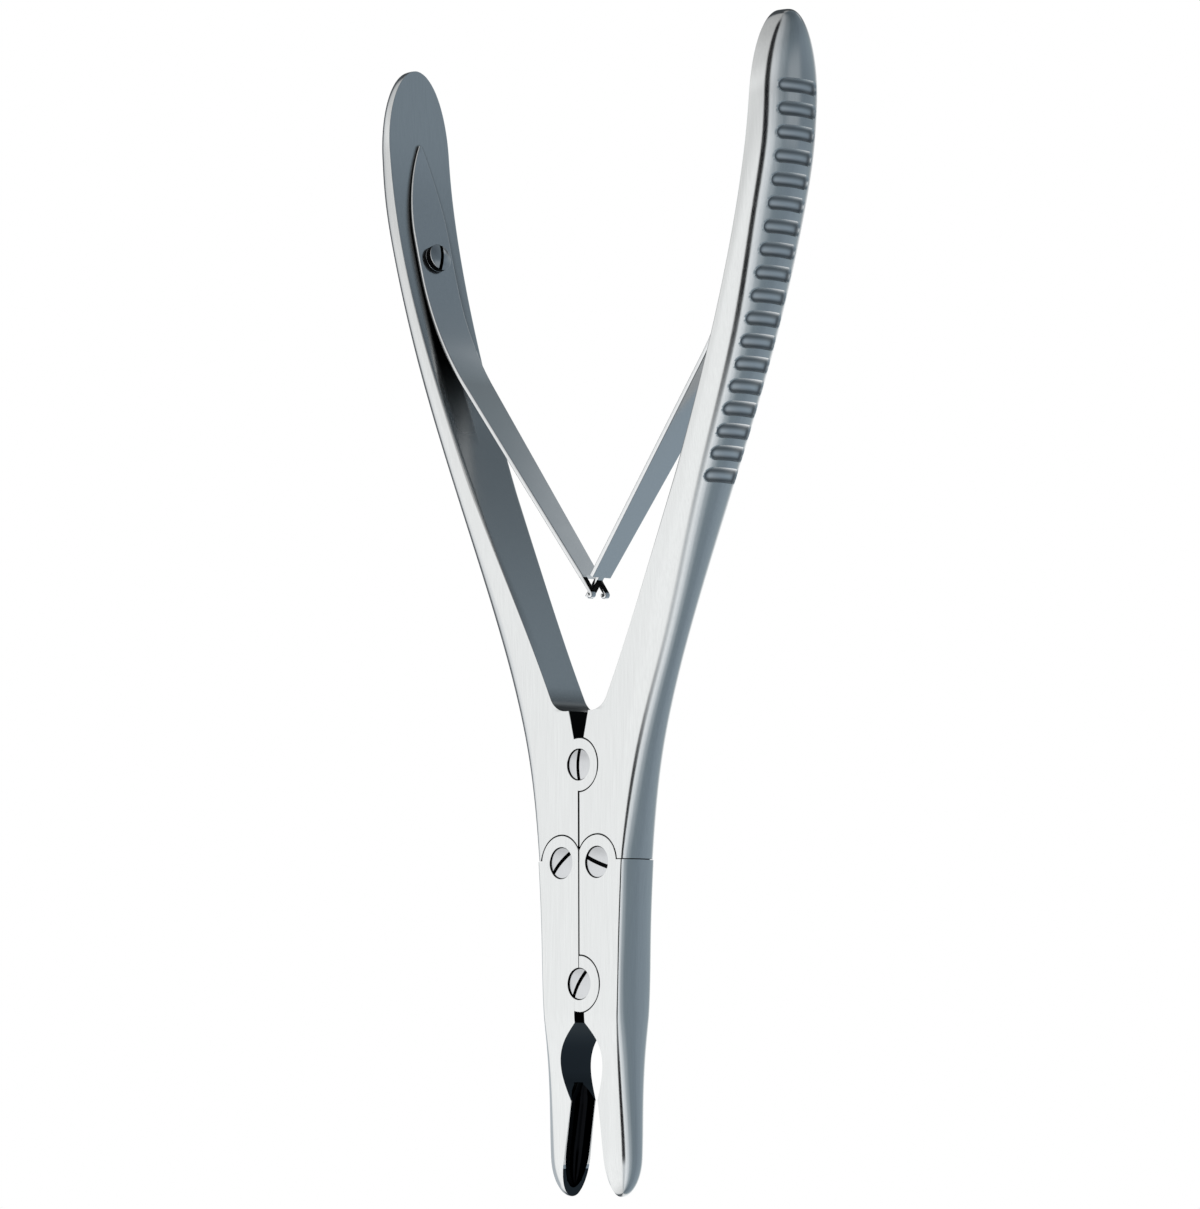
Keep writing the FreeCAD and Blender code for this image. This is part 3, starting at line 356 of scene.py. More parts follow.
def outward(obj):
    """Turn every face of a closed mesh to point out of it."""
    work = bmesh.new()
    work.from_mesh(obj.data)
    bmesh.ops.recalc_face_normals(work, faces=work.faces)
    work.to_mesh(obj.data)
    work.free()
    return obj


def lathe(name, profile, centre, material, steps=96):
    """A solid turned round an upright axis at (x, along), from (radius, z) pairs."""
    rings = []
    for radius, z in profile:
        rings.append([(centre[0] + radius * math.cos(2 * math.pi * k / steps),
                       centre[1] + radius * math.sin(2 * math.pi * k / steps), z)
                      for k in range(steps)])
    return outward(ring_grid(name, rings, material))


print("a millimetre to the right of the pivot is at", tuple(metres(1, 0, 0)))

# %% [markdown]
# ## Cutting, marking and shading
#
# A Boolean can turn inside out without a word when two planes coincide, so each cut is
# measured, and a cut that made the piece larger is called out. Marks are plain 0 or 1 values
# on faces, for other finishes and for painted shade and highlights. A material slot for each
# finish would do as well, but a mark needs no second material and lets one finish run over
# several pieces.

# %% Booleans and marks
def join(name, parts):
    """Several closed meshes in one object, as separate shells."""
    work = bmesh.new()
    for part in parts:
        work.from_mesh(part.data)
    mesh = bpy.data.meshes.new(name)
    work.to_mesh(mesh)
    work.free()
    for slot in parts[0].data.materials:
        mesh.materials.append(slot)
    for part in parts:
        bpy.data.objects.remove(part)
    made = bpy.data.objects.new(name, mesh)
    bpy.context.scene.collection.objects.link(made)
    return made


def combine(base, tool, operation):
    """Apply one Boolean and put the tool away."""
    step = base.modifiers.new(operation, "BOOLEAN")
    step.operation = operation
    step.object = tool
    step.solver = "EXACT"
    before = base.dimensions.copy()
    apply_all(base)
    bpy.data.objects.remove(tool)
    growth = max(base.dimensions[i] - before[i] for i in range(3))
    if operation == "DIFFERENCE" and growth > 0.00001:
        print("WARNING: a cut made", base.name, "larger")


def apply_all(obj):
    """Turn an object with modifiers into a plain mesh."""
    depsgraph = bpy.context.evaluated_depsgraph_get()
    made = bpy.data.meshes.new_from_object(obj.evaluated_get(depsgraph),
                                           preserve_all_data_layers=True, depsgraph=depsgraph)
    old = obj.data
    obj.modifiers.clear()
    obj.data = made
    made.name = obj.name
    bpy.data.meshes.remove(old)
    return obj


def finish_shading(obj, angle=32):
    """Smooth faces with sharp edges where they meet steeply, and even normals on flats."""
    for face in obj.data.polygons:
        face.use_smooth = True
    obj.data.set_sharp_from_angle(angle=math.radians(angle))
    even = obj.modifiers.new("even_normals", "WEIGHTED_NORMAL")
    even.keep_sharp = True
    even.weight = 60
    return apply_all(obj)


def mark_faces(obj, name, test):
    """Give each face a value of 0 or 1, by a test of its centre and normal in millimetres."""
    values = []
    for face in obj.data.polygons:
        c = face.center * 1000
        place = Vector((c.x, c.y - origin_y, c.z - middle_z))
        values.append(1.0 if test(place, face.normal) else 0.0)
    obj.data.attributes.new(name, "FLOAT", "FACE").data.foreach_set("value", values)


def near_ring(point, centre, low, high):
    """Whether a point is between two distances from an upright axis."""
    return low < math.hypot(point.x - centre[0], point.y - centre[1]) < high


def triangles(obj):
    """How many triangles an object has."""
    return sum(len(face.vertices) - 2 for face in obj.data.polygons)


print("a point 5 mm from the pivot is near its ring:", near_ring(Vector((3, 4, 0)), (0, 0), 4, 6))

# %% [markdown]
# ## The handle's own curves
#
# Seen from the front a handle bows outwards; seen from its inner side it is a narrow bar at
# the lock and flares to a broad grip that ends in a dome. Its back is a half ellipse. The
# stations are distances from the handle pivot and the sizes there.

# %% Handle stations
inner_face = smooth_curve([(14, 8.1), (50, 25.5), (74, 35.9), (98, 44.25), (120, 48.9),
                           (146, 50.3)])
flat_end = smooth_curve([(-19.5, 10.2), (3, 12.2), (25, 18.1), (54.6, 30.1), (82, 40.1),
                         (104, 46.8), (116, 49.1), (124, 49.85)])
back_bulge = smooth_curve([(-19.5, 2.1), (3, 4.3), (25, 5.9), (54.6, 5.5), (82, 6.1),
                           (104, 5.5), (116, 5.75), (124, 5.65)])
FLARE_START = 17
FLARE_END = 113
flare = smooth_curve([(FLARE_START, 4.7), (42.92, 5.785), (77.48, 7.29), (FLARE_END, 8.2)],
                     level_ends=True)
crown_start = 124.0
crown_length = handle_end - crown_start
grip_half = 8.2
# Half the seam between left and right, wide enough to show as a fine dark line
seam = 0.18
shoulder = -18.31


def half_thickness(along):
    """Half the handle's thickness at a distance along."""
    if along <= FLARE_START:
        return half_lock
    if along <= FLARE_END:
        return flare(along)
    if along <= crown_start:
        return grip_half
    return grip_half * math.sqrt(max(0.0, 1 - ((along - crown_start) / crown_length) ** 2))


def edge_round(along):
    """How round the inner edges are: crisp at the lock and worn smooth on the grip."""
    return 0.12 + 1.2 * between(24, 84, along)


print("grip is", 2 * grip_half, "mm thick, crown", round(crown_length, 2), "mm high")

# %% [markdown]
# ## Rings round the section
#
# Every ring starts in the middle of the inner face and goes round: inner edge, front flat,
# elliptical back, rear flat, inner edge. A round tube with a curve as its path would be
# quicker, but only a ring of known points keeps the flats flat and the edges where they are.

# %% Handle rings
BACK_STEPS = 72
FLAT_STEPS = 4
EDGE_STEPS = 5
FACE_STEPS = 36


def handle_ring(inside, along_in, along_out, half, flat, bulge):
    """One ring of points round a handle, from its inner face round its back."""
    rounding = min(edge_round(along_in), 0.48 * half + 0.001, 0.3 * (flat - inside) + 0.001)
    ring = []
    for k in range(FACE_STEPS):
        share = k / FACE_STEPS
        ring.append((inside, along_in, (half - rounding) * (2 * share - 1)))
    for k in range(EDGE_STEPS + 1):
        turn = math.pi / 2 * k / EDGE_STEPS
        ring.append((inside + rounding * (1 - math.cos(turn)), along_in,
                     half - rounding * (1 - math.sin(turn))))
    near = inside + rounding
    for k in range(1, FLAT_STEPS):
        share = k / FLAT_STEPS
        ring.append((near + (flat - near) * share,
                     along_in + (along_out - along_in) * share, half))
    for k in range(BACK_STEPS + 1):
        turn = math.pi / 2 - math.pi * k / BACK_STEPS
        ring.append((flat + bulge * math.cos(turn), along_out, half * math.sin(turn)))
    for k in range(FLAT_STEPS - 1, 0, -1):
        share = k / FLAT_STEPS
        ring.append((near + (flat - near) * share,
                     along_in + (along_out - along_in) * share, -half))
    for k in range(EDGE_STEPS, 0, -1):
        turn = math.pi / 2 * k / EDGE_STEPS
        ring.append((inside + rounding * (1 - math.cos(turn)), along_in,
                     -half + rounding * (1 - math.sin(turn))))
    return ring


print("points round a handle:", len(handle_ring(0, 0, 0, 5.0, 12.0, 4.0)))

# %% [markdown]
# ## Where the rows go
#
# The rows start at the shoulder above the jaws, pass the crotch with its fillet, and follow
# the grip to the crown. They come closer together at the walls of the grooves, so that each
# groove gets a crisp edge without a dense mesh everywhere. In the crotch the inner face and
# the back are at different heights, so a row may lean.

# %% Handle rows
GROOVES = 18
GROOVE_PITCH = 4.48
GROOVE_HEIGHT = 2.8
GROOVE_DEPTH = 0.95
FIRST_GROOVE = 53.7


def lean(along):
    """The share of the handle's own length that runs along Y."""
    rise = (inner_face(along + 0.1) - inner_face(along - 0.1)) / 0.2
    return 1 / math.sqrt(1 + rise * rise)


groove_places = [FIRST_GROOVE]
while len(groove_places) < GROOVES:
    groove_places.append(groove_places[-1] + GROOVE_PITCH * lean(groove_places[-1]))

handle_rows = []


def row(inside, along_in, along_out=None):
    """Note one row of the handle's grid."""
    handle_rows.append((inside, along_in, along_in if along_out is None else along_out))


# The crotch: a gap that widens from its root to its lip, a shelf, and the fillet beyond it
ROOT_ALONG = 3.4
ROOT_HALF = 0.9
LIP_ALONG = 10.4
SHELF_END = 6.3
FILLET = 4.6
# Where the fillet starts before the shelf's end, as a share of its radius, and how far it turns
FILLET_START = 0.619
FILLET_TURN = 63.43
for k in range(15):
    row(seam, shoulder + (ROOT_ALONG - 0.02 - shoulder) * k / 14)
row(ROOT_HALF, ROOT_ALONG)
for k in range(1, 7):
    share = k / 6
    row(ROOT_HALF + 1.7 * share, ROOT_ALONG + 7.0 * share, ROOT_ALONG + 5.6 * share)
row(2.9, LIP_ALONG, 9.3)
fillet_middle = SHELF_END - FILLET_START * FILLET
row(fillet_middle, LIP_ALONG, 10.0)
for k in range(1, 11):
    turn = math.radians(-90 + FILLET_TURN * k / 10)
    row(fillet_middle + FILLET * math.cos(turn), LIP_ALONG + FILLET + FILLET * math.sin(turn),
        10.0 + 3.0 * k / 10)
stations = [14.0 + 1.3 * k for k in range(29)]
# Rows on both sides of a groove's middle line, closest at its wall
WALL_ROWS = (0.0, 0.25, 0.5, 0.75, 0.95, 1.1, 1.22, 1.32, 1.4, 1.48, 1.6, 1.8)
for place in groove_places:
    for away in WALL_ROWS:
        stations += [place + away, place - away]
CROWN_STEPS = 40
after_grooves = groove_places[-1] + WALL_ROWS[-1] + 0.3
for k in range(CROWN_STEPS + 1):
    place = crown_start + crown_length * math.sin(math.pi / 2 * k / CROWN_STEPS)
    if place > after_grooves:
        stations.append(place)
for along in sorted(set(stations)):
    row(inner_face(along), along)
print("rows along a handle:", len(handle_rows))

# %% [markdown]
# ## Grooves by Geometry Nodes
#
# Eighteen grooves cross the back of each grip. They repeat by rule, so a node tree presses
# them in: each point of the back knows how far it is along in groove steps, rounds that to
# the nearest groove, works out its distance to that groove's outline, and sinks if it is
# inside. A Boolean with eighteen cutters would work too, but it would leave faceted walls.

# %% The groove tree
SCOOP_POWER = 2.2
math_node = "ShaderNodeMath"
named = "GeometryNodeInputNamedAttribute"


def groove_tree():
    """A node group that presses a row of rounded grooves into the back of a grip."""
    tree = bpy.data.node_groups.new("grip_grooves", "GeometryNodeTree")
    face = tree.interface
    face.new_socket("Geometry", in_out="INPUT", socket_type="NodeSocketGeometry")
    for name in ("Last Groove", "Height", "Depth", "Low Reach", "High Reach"):
        face.new_socket(name, in_out="INPUT", socket_type="NodeSocketFloat")
    face.new_socket("Inward", in_out="INPUT", socket_type="NodeSocketVector")
    face.new_socket("Middle", in_out="INPUT", socket_type="NodeSocketFloat")
    face.new_socket("Material", in_out="INPUT", socket_type="NodeSocketMaterial")
    face.new_socket("Geometry", in_out="OUTPUT", socket_type="NodeSocketGeometry")
    given = add(tree, "NodeGroupInput").outputs

    step = add(tree, named, {"data_type": "FLOAT"}, {"Name": "groove_step"})
    pitch = add(tree, named, {"data_type": "FLOAT"}, {"Name": "groove_pitch"})
    on_back = add(tree, named, {"data_type": "FLOAT"}, {"Name": "grip_back"})
    # The nearest groove, and how far the point is from its middle line along the grip
    nearest = add(tree, math_node, {"operation": "ROUND"}, {0: step})
    nearest = add(tree, math_node, {"operation": "MAXIMUM"}, {0: nearest, 1: 0.0})
    nearest = add(tree, math_node, {"operation": "MINIMUM"}, {0: nearest, 1: given["Last Groove"]})
    along_it = add(tree, math_node, {"operation": "SUBTRACT"}, {0: step, 1: nearest})
    along_it = add(tree, math_node, {"operation": "MULTIPLY"}, {0: along_it, 1: pitch})
    along_it = add(tree, math_node, {"operation": "ABSOLUTE"}, {0: along_it})
    # How far it is past the groove's straight part, across the grip
    reach = add(tree, "ShaderNodeMapRange", {}, {
        "Value": nearest, "From Min": 0.0, "From Max": given["Last Groove"],
        "To Min": given["Low Reach"], "To Max": given["High Reach"]})
    half = add(tree, math_node, {"operation": "MULTIPLY"}, {0: given["Height"], 1: 0.5})
    straight = add(tree, math_node, {"operation": "SUBTRACT"}, {0: reach, 1: half})
    place = add(tree, "GeometryNodeInputPosition")
    height = add(tree, "ShaderNodeSeparateXYZ", {}, {"Vector": place}).outputs["Z"]
    side = add(tree, math_node, {"operation": "SUBTRACT"}, {0: height, 1: given["Middle"]})
    side = add(tree, math_node, {"operation": "ABSOLUTE"}, {0: side})
    side = add(tree, math_node, {"operation": "SUBTRACT"}, {0: side, 1: straight})
    side = add(tree, math_node, {"operation": "MAXIMUM"}, {0: side, 1: 0.0})
    # Its distance to the outline, less than nothing inside
    square = add(tree, math_node, {"operation": "MULTIPLY"}, {0: along_it, 1: along_it})
    other = add(tree, math_node, {"operation": "MULTIPLY"}, {0: side, 1: side})
    away = add(tree, math_node, {"operation": "ADD"}, {0: square, 1: other})
    away = add(tree, math_node, {"operation": "SQRT"}, {0: away})
    away = add(tree, math_node, {"operation": "SUBTRACT"}, {0: away, 1: half})
    # A scoop: full depth on the middle line, and a crisp edge at the outline
    inmost = add(tree, math_node, {"operation": "MULTIPLY"}, {0: half, 1: -1.0})
    shallow = add(tree, "ShaderNodeMapRange", {}, {
        "Value": away, "From Min": 0.0, "From Max": inmost, "To Min": 1.0, "To Max": 0.0})
    sunk = add(tree, math_node, {"operation": "POWER"}, {0: shallow, 1: SCOOP_POWER})
    sunk = add(tree, math_node, {"operation": "SUBTRACT"}, {0: 1.0, 1: sunk})
    sunk = add(tree, math_node, {"operation": "MULTIPLY"}, {0: sunk, 1: on_back})
    depth = add(tree, math_node, {"operation": "MULTIPLY"}, {0: sunk, 1: given["Depth"]})
    push = add(tree, "ShaderNodeVectorMath", {"operation": "SCALE"}, {
        "Vector": given["Inward"], "Scale": depth})
    stored = add(tree, "GeometryNodeStoreNamedAttribute", {
        "data_type": "FLOAT", "domain": "POINT"}, {
        "Geometry": given["Geometry"], "Name": "groove_floor", "Value": sunk})
    moved = add(tree, "GeometryNodeSetPosition", {}, {"Geometry": stored, "Offset": push})
    real = add(tree, "GeometryNodeRealizeInstances", {}, {"Geometry": moved})
    dressed = add(tree, "GeometryNodeSetMaterial", {}, {
        "Geometry": real, "Material": given["Material"]})
    add(tree, "NodeGroupOutput", {}, {"Geometry": dressed})
    return tree


def run_tree(obj, tree, values):
    """Give an object a node tree with named inputs, and make the result its mesh."""
    step = obj.modifiers.new(tree.name, "NODES")
    step.node_group = tree
    sockets = {item.name: item.identifier for item in tree.interface.items_tree
               if item.in_out == "INPUT"}
    for name, value in values.items():
        step[sockets[name]] = value
    return apply_all(obj)


grooves = groove_tree()
print("groove tree has", len(grooves.nodes), "nodes")

# %% [markdown]
# ## Cutters for the layers
#
# Every pivot of the lock is a sandwich of three layers: ear, tongue, ear. A mill cuts round
# rooms into one piece for the layers of the other. Each cutter here is a turned solid with a
# tiny chamfer of its own, because a bevel on a finished Boolean tends to tear. Ears and
# tongues stay a hundredth of a millimetre off the planes they share with the piece that
# carries them, which keeps the Boolean from turning inside out.

# %% Layer cutters
TONGUE_HALF = 2.1
EAR_INSIDE = 2.16
LINK_X = link_pivot.x
LINK_ALONG = link_pivot.y - origin_y
JAW_ALONG = jaw_pivot.y - origin_y
HANDLE_EYE = 5.1
LINK_EYE = 5.25
JAW_EYE = 5.4
EYE_PLAY = 0.1
# Bores: tight on the screw, free to turn, and the loose one that lets the linkage close
TIGHT_BORE = 2.02
FREE_BORE = 2.05
LOOSE_BORE = 2.1
CHAMFER = 0.06
# The gap round an eye is drawn wider than it is, so that it shows as a fine dark ring
GAP = 0.24
OFF_PLANE = 0.01
# How far a cutter reaches out of the piece
CLEAR = 3
HEAD_RADIUS = 3.09
HEAD_SEAT = half_lock - 1.5


def milled_room(name, radius, centre, front, material):
    """A cutter for one outer layer, from the tongue out, that leaves a small chamfer."""
    sign = 1 if front else -1
    rim = radius + 2 * CHAMFER
    profile = [(0, sign * TONGUE_HALF), (radius, sign * TONGUE_HALF),
               (radius, sign * (half_lock - CHAMFER)), (rim, sign * (half_lock + CHAMFER)),
               (rim, sign * (half_lock + CLEAR)), (0, sign * (half_lock + CLEAR))]
    return lathe(name, profile, centre, material)


def middle_room(name, radius, centre, material):
    """A cutter for the middle layer."""
    profile = [(0, -EAR_INSIDE), (radius, -EAR_INSIDE), (radius, EAR_INSIDE), (0, EAR_INSIDE)]
    return lathe(name, profile, centre, material)


def ear(name, radius, centre, front, material):
    """A disc in one outer layer, with its outer rim broken."""
    sign = 1 if front else -1
    inner, outer = EAR_INSIDE + OFF_PLANE, half_lock - OFF_PLANE
    profile = [(0, sign * inner), (radius, sign * inner), (radius, sign * (outer - CHAMFER)),
               (radius - CHAMFER, sign * outer), (0, sign * outer)]
    return lathe(name, profile, centre, material)


def tongue(name, radius, centre, material):
    """A disc in the middle layer."""
    half = TONGUE_HALF - OFF_PLANE
    return lathe(name, [(0, -half), (radius, -half), (radius, half), (0, half)], centre, material)


def bore(name, radius, centre, material):
    """A plain drill."""
    return lathe(name, [(0, -12), (radius, -12), (radius, 12), (0, 12)], centre, material, 64)


def head_seat(name, centre, material):
    """The counterbore of a screw head, with a small chamfer at the face."""
    profile = [(0, HEAD_SEAT), (HEAD_RADIUS, HEAD_SEAT), (HEAD_RADIUS, half_lock - 0.04),
               (HEAD_RADIUS + 0.1, half_lock + 0.06), (HEAD_RADIUS + 0.1, half_lock + CLEAR),
               (0, half_lock + CLEAR)]
    return lathe(name, profile, centre, material)


def seam_block(side, top, material):
    """A box on the far side of the seam, to trim what crosses it."""
    x0, x1 = sorted((side * (seam - 12), side * (seam + 0.013)))
    points = [(x, a, z) for x in (x0, x1) for a in (-40, top) for z in (-8, 8)]
    faces = [(0, 1, 3, 2), (4, 6, 7, 5), (0, 4, 5, 1), (2, 3, 7, 6), (0, 2, 6, 4), (1, 5, 7, 3)]
    return outward(mesh_object("seam_side", points, faces, material))


print("links at", round(LINK_X, 2), round(LINK_ALONG, 2), "jaw pivot at", round(JAW_ALONG, 2))

# %% [markdown]
# ## Shade beside the leaf
#
# The leaf lies close to the handle's inner face, and light can't get in beside it. A renderer
# finds the contact shadow of matt things by itself, but bright metal mirrors the studio into
# the narrow gap. So the inner face carries a value of painted shade: a dark line beside the
# lancet foot, a wedge below it, a darker band along the front edge, a broader, fainter tone
# lower down the face and a softer tone in the crotch.

# %% How dark the inner face is
LEAF_FOOT = 9.3
LEAF_TIP = 125.8
LEAF_LIFT = 97.0
LEAF_WIDEST = 107.05


def foot_width(along):
    """The lancet's width at a distance along."""
    if along <= LEAF_WIDEST:
        return LEAF_FOOT
    share = min(1.0, (along - LEAF_WIDEST) / (LEAF_TIP - LEAF_WIDEST))
    return LEAF_FOOT * (1 - share ** 1.75) ** 0.92 + 0.5 * share


SHADE_START = 18


def leaf_shade(along, z):
    """How much painted shade the inner face has, from 0 to 1, at a place along it and up it."""
    if along < SHADE_START:
        return 0.62 * between(LIP_ALONG - 0.6, LIP_ALONG, along) * (1 - between(11.6, 16.0, along))
    if along > LEAF_TIP + 1.0:
        return 0.0
    edge = 0.36 * (1 - between(0, 2.8, half_thickness(along) - z))
    edge *= between(SHADE_START, 34, along) * (1 - between(80, 112, along))
    past = abs(z) - foot_width(along) / 2 + 2.5 * max(0.0, along - LEAF_TIP)
    reach = 0.9 + 1.3 * (1 - between(LEAF_TIP - 30, LEAF_TIP, along))
    beside = (1 - between(0.0, reach, past)) * (1.0 if z > 0 else 0.55)
    deep = between(50, 84, along) * beside
    wide = 0.36 * between(SHADE_START, 64, along) * (1 - between(66, 84, along))
    return min(1.0, max(deep, wide, edge))


print("shade beside the leaf at 100 mm:", round(leaf_shade(100, LEAF_FOOT / 2), 2))

# %% [markdown]
# ## The forging
#
# A handle is forged with its grip, shank and lock in one. Its rings are skinned to one closed
# grid, which the groove tree presses. Sculpting would be freer, but left and right have to be
# exact mirror images, so one function makes both.

# %% A handle before it is milled
CROWN_FLAT = 49.85
CROWN_FLAT_GAIN = 0.65
CROWN_BULGE = 5.65
CROWN_FULLNESS = 0.45
# A ring never shrinks to nothing, so that its points stay apart
THINNEST = 0.02
# Half the length of the lowest and the highest groove, in metres
LOW_REACH = 0.0044
HIGH_REACH = 0.0052


def handle_blank(side, name):
    """A handle before it is milled, with its grooves."""
    rings = []
    steps = []
    for inside, along_in, along_out in handle_rows:
        flat, bulge = flat_end(along_out), back_bulge(along_out)
        if along_out > crown_start:
            turn = math.asin(min(1.0, (along_out - crown_start) / crown_length))
            flat = CROWN_FLAT + CROWN_FLAT_GAIN * math.sin(turn)
            bulge = CROWN_BULGE * max(0.0, math.cos(turn)) ** CROWN_FULLNESS
        half = max(half_thickness(along_out), THINNEST)
        rings.append(handle_ring(inside, along_in, along_out, half, flat, max(bulge, THINNEST)))
        # How many groove steps up this row is, and how long a step is along Y here
        near = min(range(GROOVES), key=lambda g: abs(groove_places[g] - along_out))
        pitch = GROOVE_PITCH * lean(groove_places[near])
        steps.append((near + (along_out - groove_places[near]) / pitch, pitch / 1000))
    made = ring_grid(name, rings, satin_steel, side)
    count = len(rings[0])
    first_back = FACE_STEPS + EDGE_STEPS + FLAT_STEPS
    data = {"groove_step": [], "groove_pitch": [], "grip_back": [], "leaf_shade": []}
    for step, pitch in steps:
        for c in range(count):
            data["groove_step"].append(step)
            data["groove_pitch"].append(pitch)
            on_back = first_back <= c <= first_back + BACK_STEPS
            data["grip_back"].append(1.0 if on_back else 0.0)
    for (inside, along_in, _), ring in zip(handle_rows, rings):
        for c, (_, _, z) in enumerate(ring):
            on_face = c < FACE_STEPS + EDGE_STEPS or c > count - EDGE_STEPS - 1
            data["leaf_shade"].append(leaf_shade(along_in, z) if on_face else 0.0)
    for key, values in data.items():
        made.data.attributes.new(key, "FLOAT", "POINT").data.foreach_set("value", values)
    run_tree(made, grooves, {
        "Last Groove": GROOVES - 1.0, "Height": GROOVE_HEIGHT / 1000,
        "Depth": GROOVE_DEPTH / 1000, "Inward": (-side, 0, 0), "Low Reach": LOW_REACH,
        "High Reach": HIGH_REACH, "Middle": middle_z / 1000, "Material": satin_steel})
    return made


print("a handle's rings change the crown over", round(crown_length, 2), "mm")

# %% [markdown]
# ## The handles
#
# At the lock the forging is milled into layers: the left handle keeps its two outer ears at
# the handle pivot, the right one keeps the tongue between them, and both leave a tongue for
# their own jaw's ears. All rooms are cut in one Boolean, but the bores come one by one,
# since two cutters that cross each other can confuse it.

# %% Build the two handles
def make_handle(side, name):
    """One handle with its clevis layers."""
    handle = handle_blank(side, name + "_forging")
    metal = satin_steel
    pivot = (0, 0)
    link = (side * LINK_X, LINK_ALONG)
    rooms = [milled_room("room", LINK_EYE + GAP, link, front, metal) for front in (True, False)]
    if side < 0:
        rooms.append(middle_room("room", HANDLE_EYE + EYE_PLAY, pivot, metal))
        added = [ear("ear", HANDLE_EYE, pivot, front, metal) for front in (True, False)]
    else:
        rooms += [milled_room("room", HANDLE_EYE + GAP, pivot, front, metal)
                  for front in (True, False)]
        added = [tongue("tongue", HANDLE_EYE, pivot, metal)]
    combine(handle, join("rooms", rooms), "DIFFERENCE")
    link_tongue = tongue("link_tongue", LINK_EYE - EYE_PLAY, link, metal)
    combine(link_tongue, seam_block(side, 20, metal), "DIFFERENCE")
    combine(handle, join("layers", added + [link_tongue]), "UNION")
    combine(handle, bore("bore", TIGHT_BORE if side < 0 else FREE_BORE, pivot, metal), "DIFFERENCE")
    combine(handle, bore("bore", FREE_BORE, link, metal), "DIFFERENCE")
    if side < 0:
        combine(handle, head_seat("seat", pivot, metal), "DIFFERENCE")

    def painted_gap_shade(p, n):
        """Faces inside the fine gaps of the lock, where no light gets in."""
        wall = abs(n.z) < 0.4
        if ROOT_ALONG - 0.1 < p.y < LIP_ALONG - 0.01:
            return wall and abs(p.x) < 6.5
        if p.y > 3.6 or abs(p.x) > 14:
            return False
        return ((abs(p.x) < 0.4 and abs(n.x) > 0.7) or n.y < -0.9
                or (wall and near_ring(p, pivot, 0, 5.5)) or (wall and near_ring(p, link, 0, 5.7))
                or abs(p.z) < 2.5 and abs(n.z) > 0.9)

    mark_faces(handle, "painted_gap_shade", painted_gap_shade)
    return finish_shading(handle)


for side, body in ((-1, "left_handle"), (1, "right_handle")):
    handle = make_handle(side, body + "_dressed")
    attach(handle, body)
    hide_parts(body)
    print(body, triangles(handle), "triangles")

# %% [markdown]
# ## The jaws
#
# A jaw starts as a bar like the handle's, with a window between the two jaws and a bite that
# closes along one line. Below the window it tapers to a blade, and its rings shrink towards
# the tip on a rounded curve, so the nose comes out full and closed without a cutter.

# %% Jaw stations
jaw_flat = smooth_curve([(-85, 6.2), (-75, 6.8), (-65, 7.58), (-56, 8.25), (-48.2, 9.3),
                         (-32, 9.95), (-17.5, 10.8)])
jaw_bulge = smooth_curve([(-85, 4.15), (-75, 4.2), (-65, 3.3), (-56, 2.65), (-48.2, 1.8),
                          (-32, 1.7), (-17.5, 1.6)])
jaw_rim = smooth_curve([(-85, 2.2), (-75, 2.55), (-65, 2.8), (-56, 3.9), (-48.2, 4.7)])
jaw_edge = smooth_curve([(-85, 3.4), (-75, 3.85), (-65, 4.0), (-56, 4.35), (-48.2, 4.7)])
OPEN = math.radians(9.0)
JAW_HEAD = -18.51
THROAT_END = -44.9
TAPER_START = -48.2
WINDOW_TOP = -49.6
WINDOW_FOOT = -64.5
WINDOW_TOP_HALF = 1.35
WINDOW_FOOT_HALF = 3.62
window_edge = smooth_curve([(WINDOW_FOOT, WINDOW_FOOT_HALF), (-57.6, 5.65), (-52.6, 4.1),
                            (WINDOW_TOP, WINDOW_TOP_HALF)])
NOSE_START = -75.2
NOSE_X = 6.7
nose_length = NOSE_START - jaw_tip


def rim_point(distance, across):
    """A point below the jaw pivot along the open bite, as (x, along)."""
    return (across * math.cos(OPEN) + distance * math.sin(OPEN),
            JAW_ALONG - distance * math.cos(OPEN) + across * math.sin(OPEN))


def jaw_inside(along):
    """How far the jaw's inner wall is from the middle plane."""
    if along > THROAT_END:
        return seam
    if along > WINDOW_TOP:
        return WINDOW_TOP_HALF
    if along > WINDOW_FOOT:
        return max(0.4, window_edge(along))
    return WINDOW_FOOT_HALF + (WINDOW_FOOT - along) * math.tan(OPEN)


JAW_BACK = 48
JAW_FRONT = 8


def jaw_ring(along):
    """One ring round a jaw, from its inner wall round its back."""
    inside, flat, bulge = jaw_inside(along), jaw_flat(along), jaw_bulge(along)
    rim = min(half_lock, jaw_rim(along)) if along < TAPER_START else half_lock
    edge = min(half_lock, jaw_edge(along)) if along < TAPER_START else half_lock
    at_wall = rim + (edge - rim) * inside / flat
    ring = []
    for k in range(6):
        ring.append((inside, along, at_wall * (k / 3 - 1)))
    for k in range(JAW_FRONT):
        share = k / JAW_FRONT
        ring.append((inside + (flat - inside) * share, along, at_wall + (edge - at_wall) * share))
    for k in range(JAW_BACK + 1):
        turn = math.pi / 2 - math.pi * k / JAW_BACK
        ring.append((flat + bulge * math.cos(turn), along, edge * math.sin(turn)))
    for k in range(JAW_FRONT - 1, 0, -1):
        share = k / JAW_FRONT
        ring.append((inside + (flat - inside) * share, along, -at_wall - (edge - at_wall) * share))
    if along < NOSE_START:
        # The tip is rounded off towards its middle
        share = min(1.0, (NOSE_START - along) / nose_length)
        shrink = max(0.003, (1 - share ** 2.3) ** (1 / 2.1))
        ring = [(NOSE_X + (x - NOSE_X) * shrink, a, z * shrink) for x, a, z in ring]
    return ring


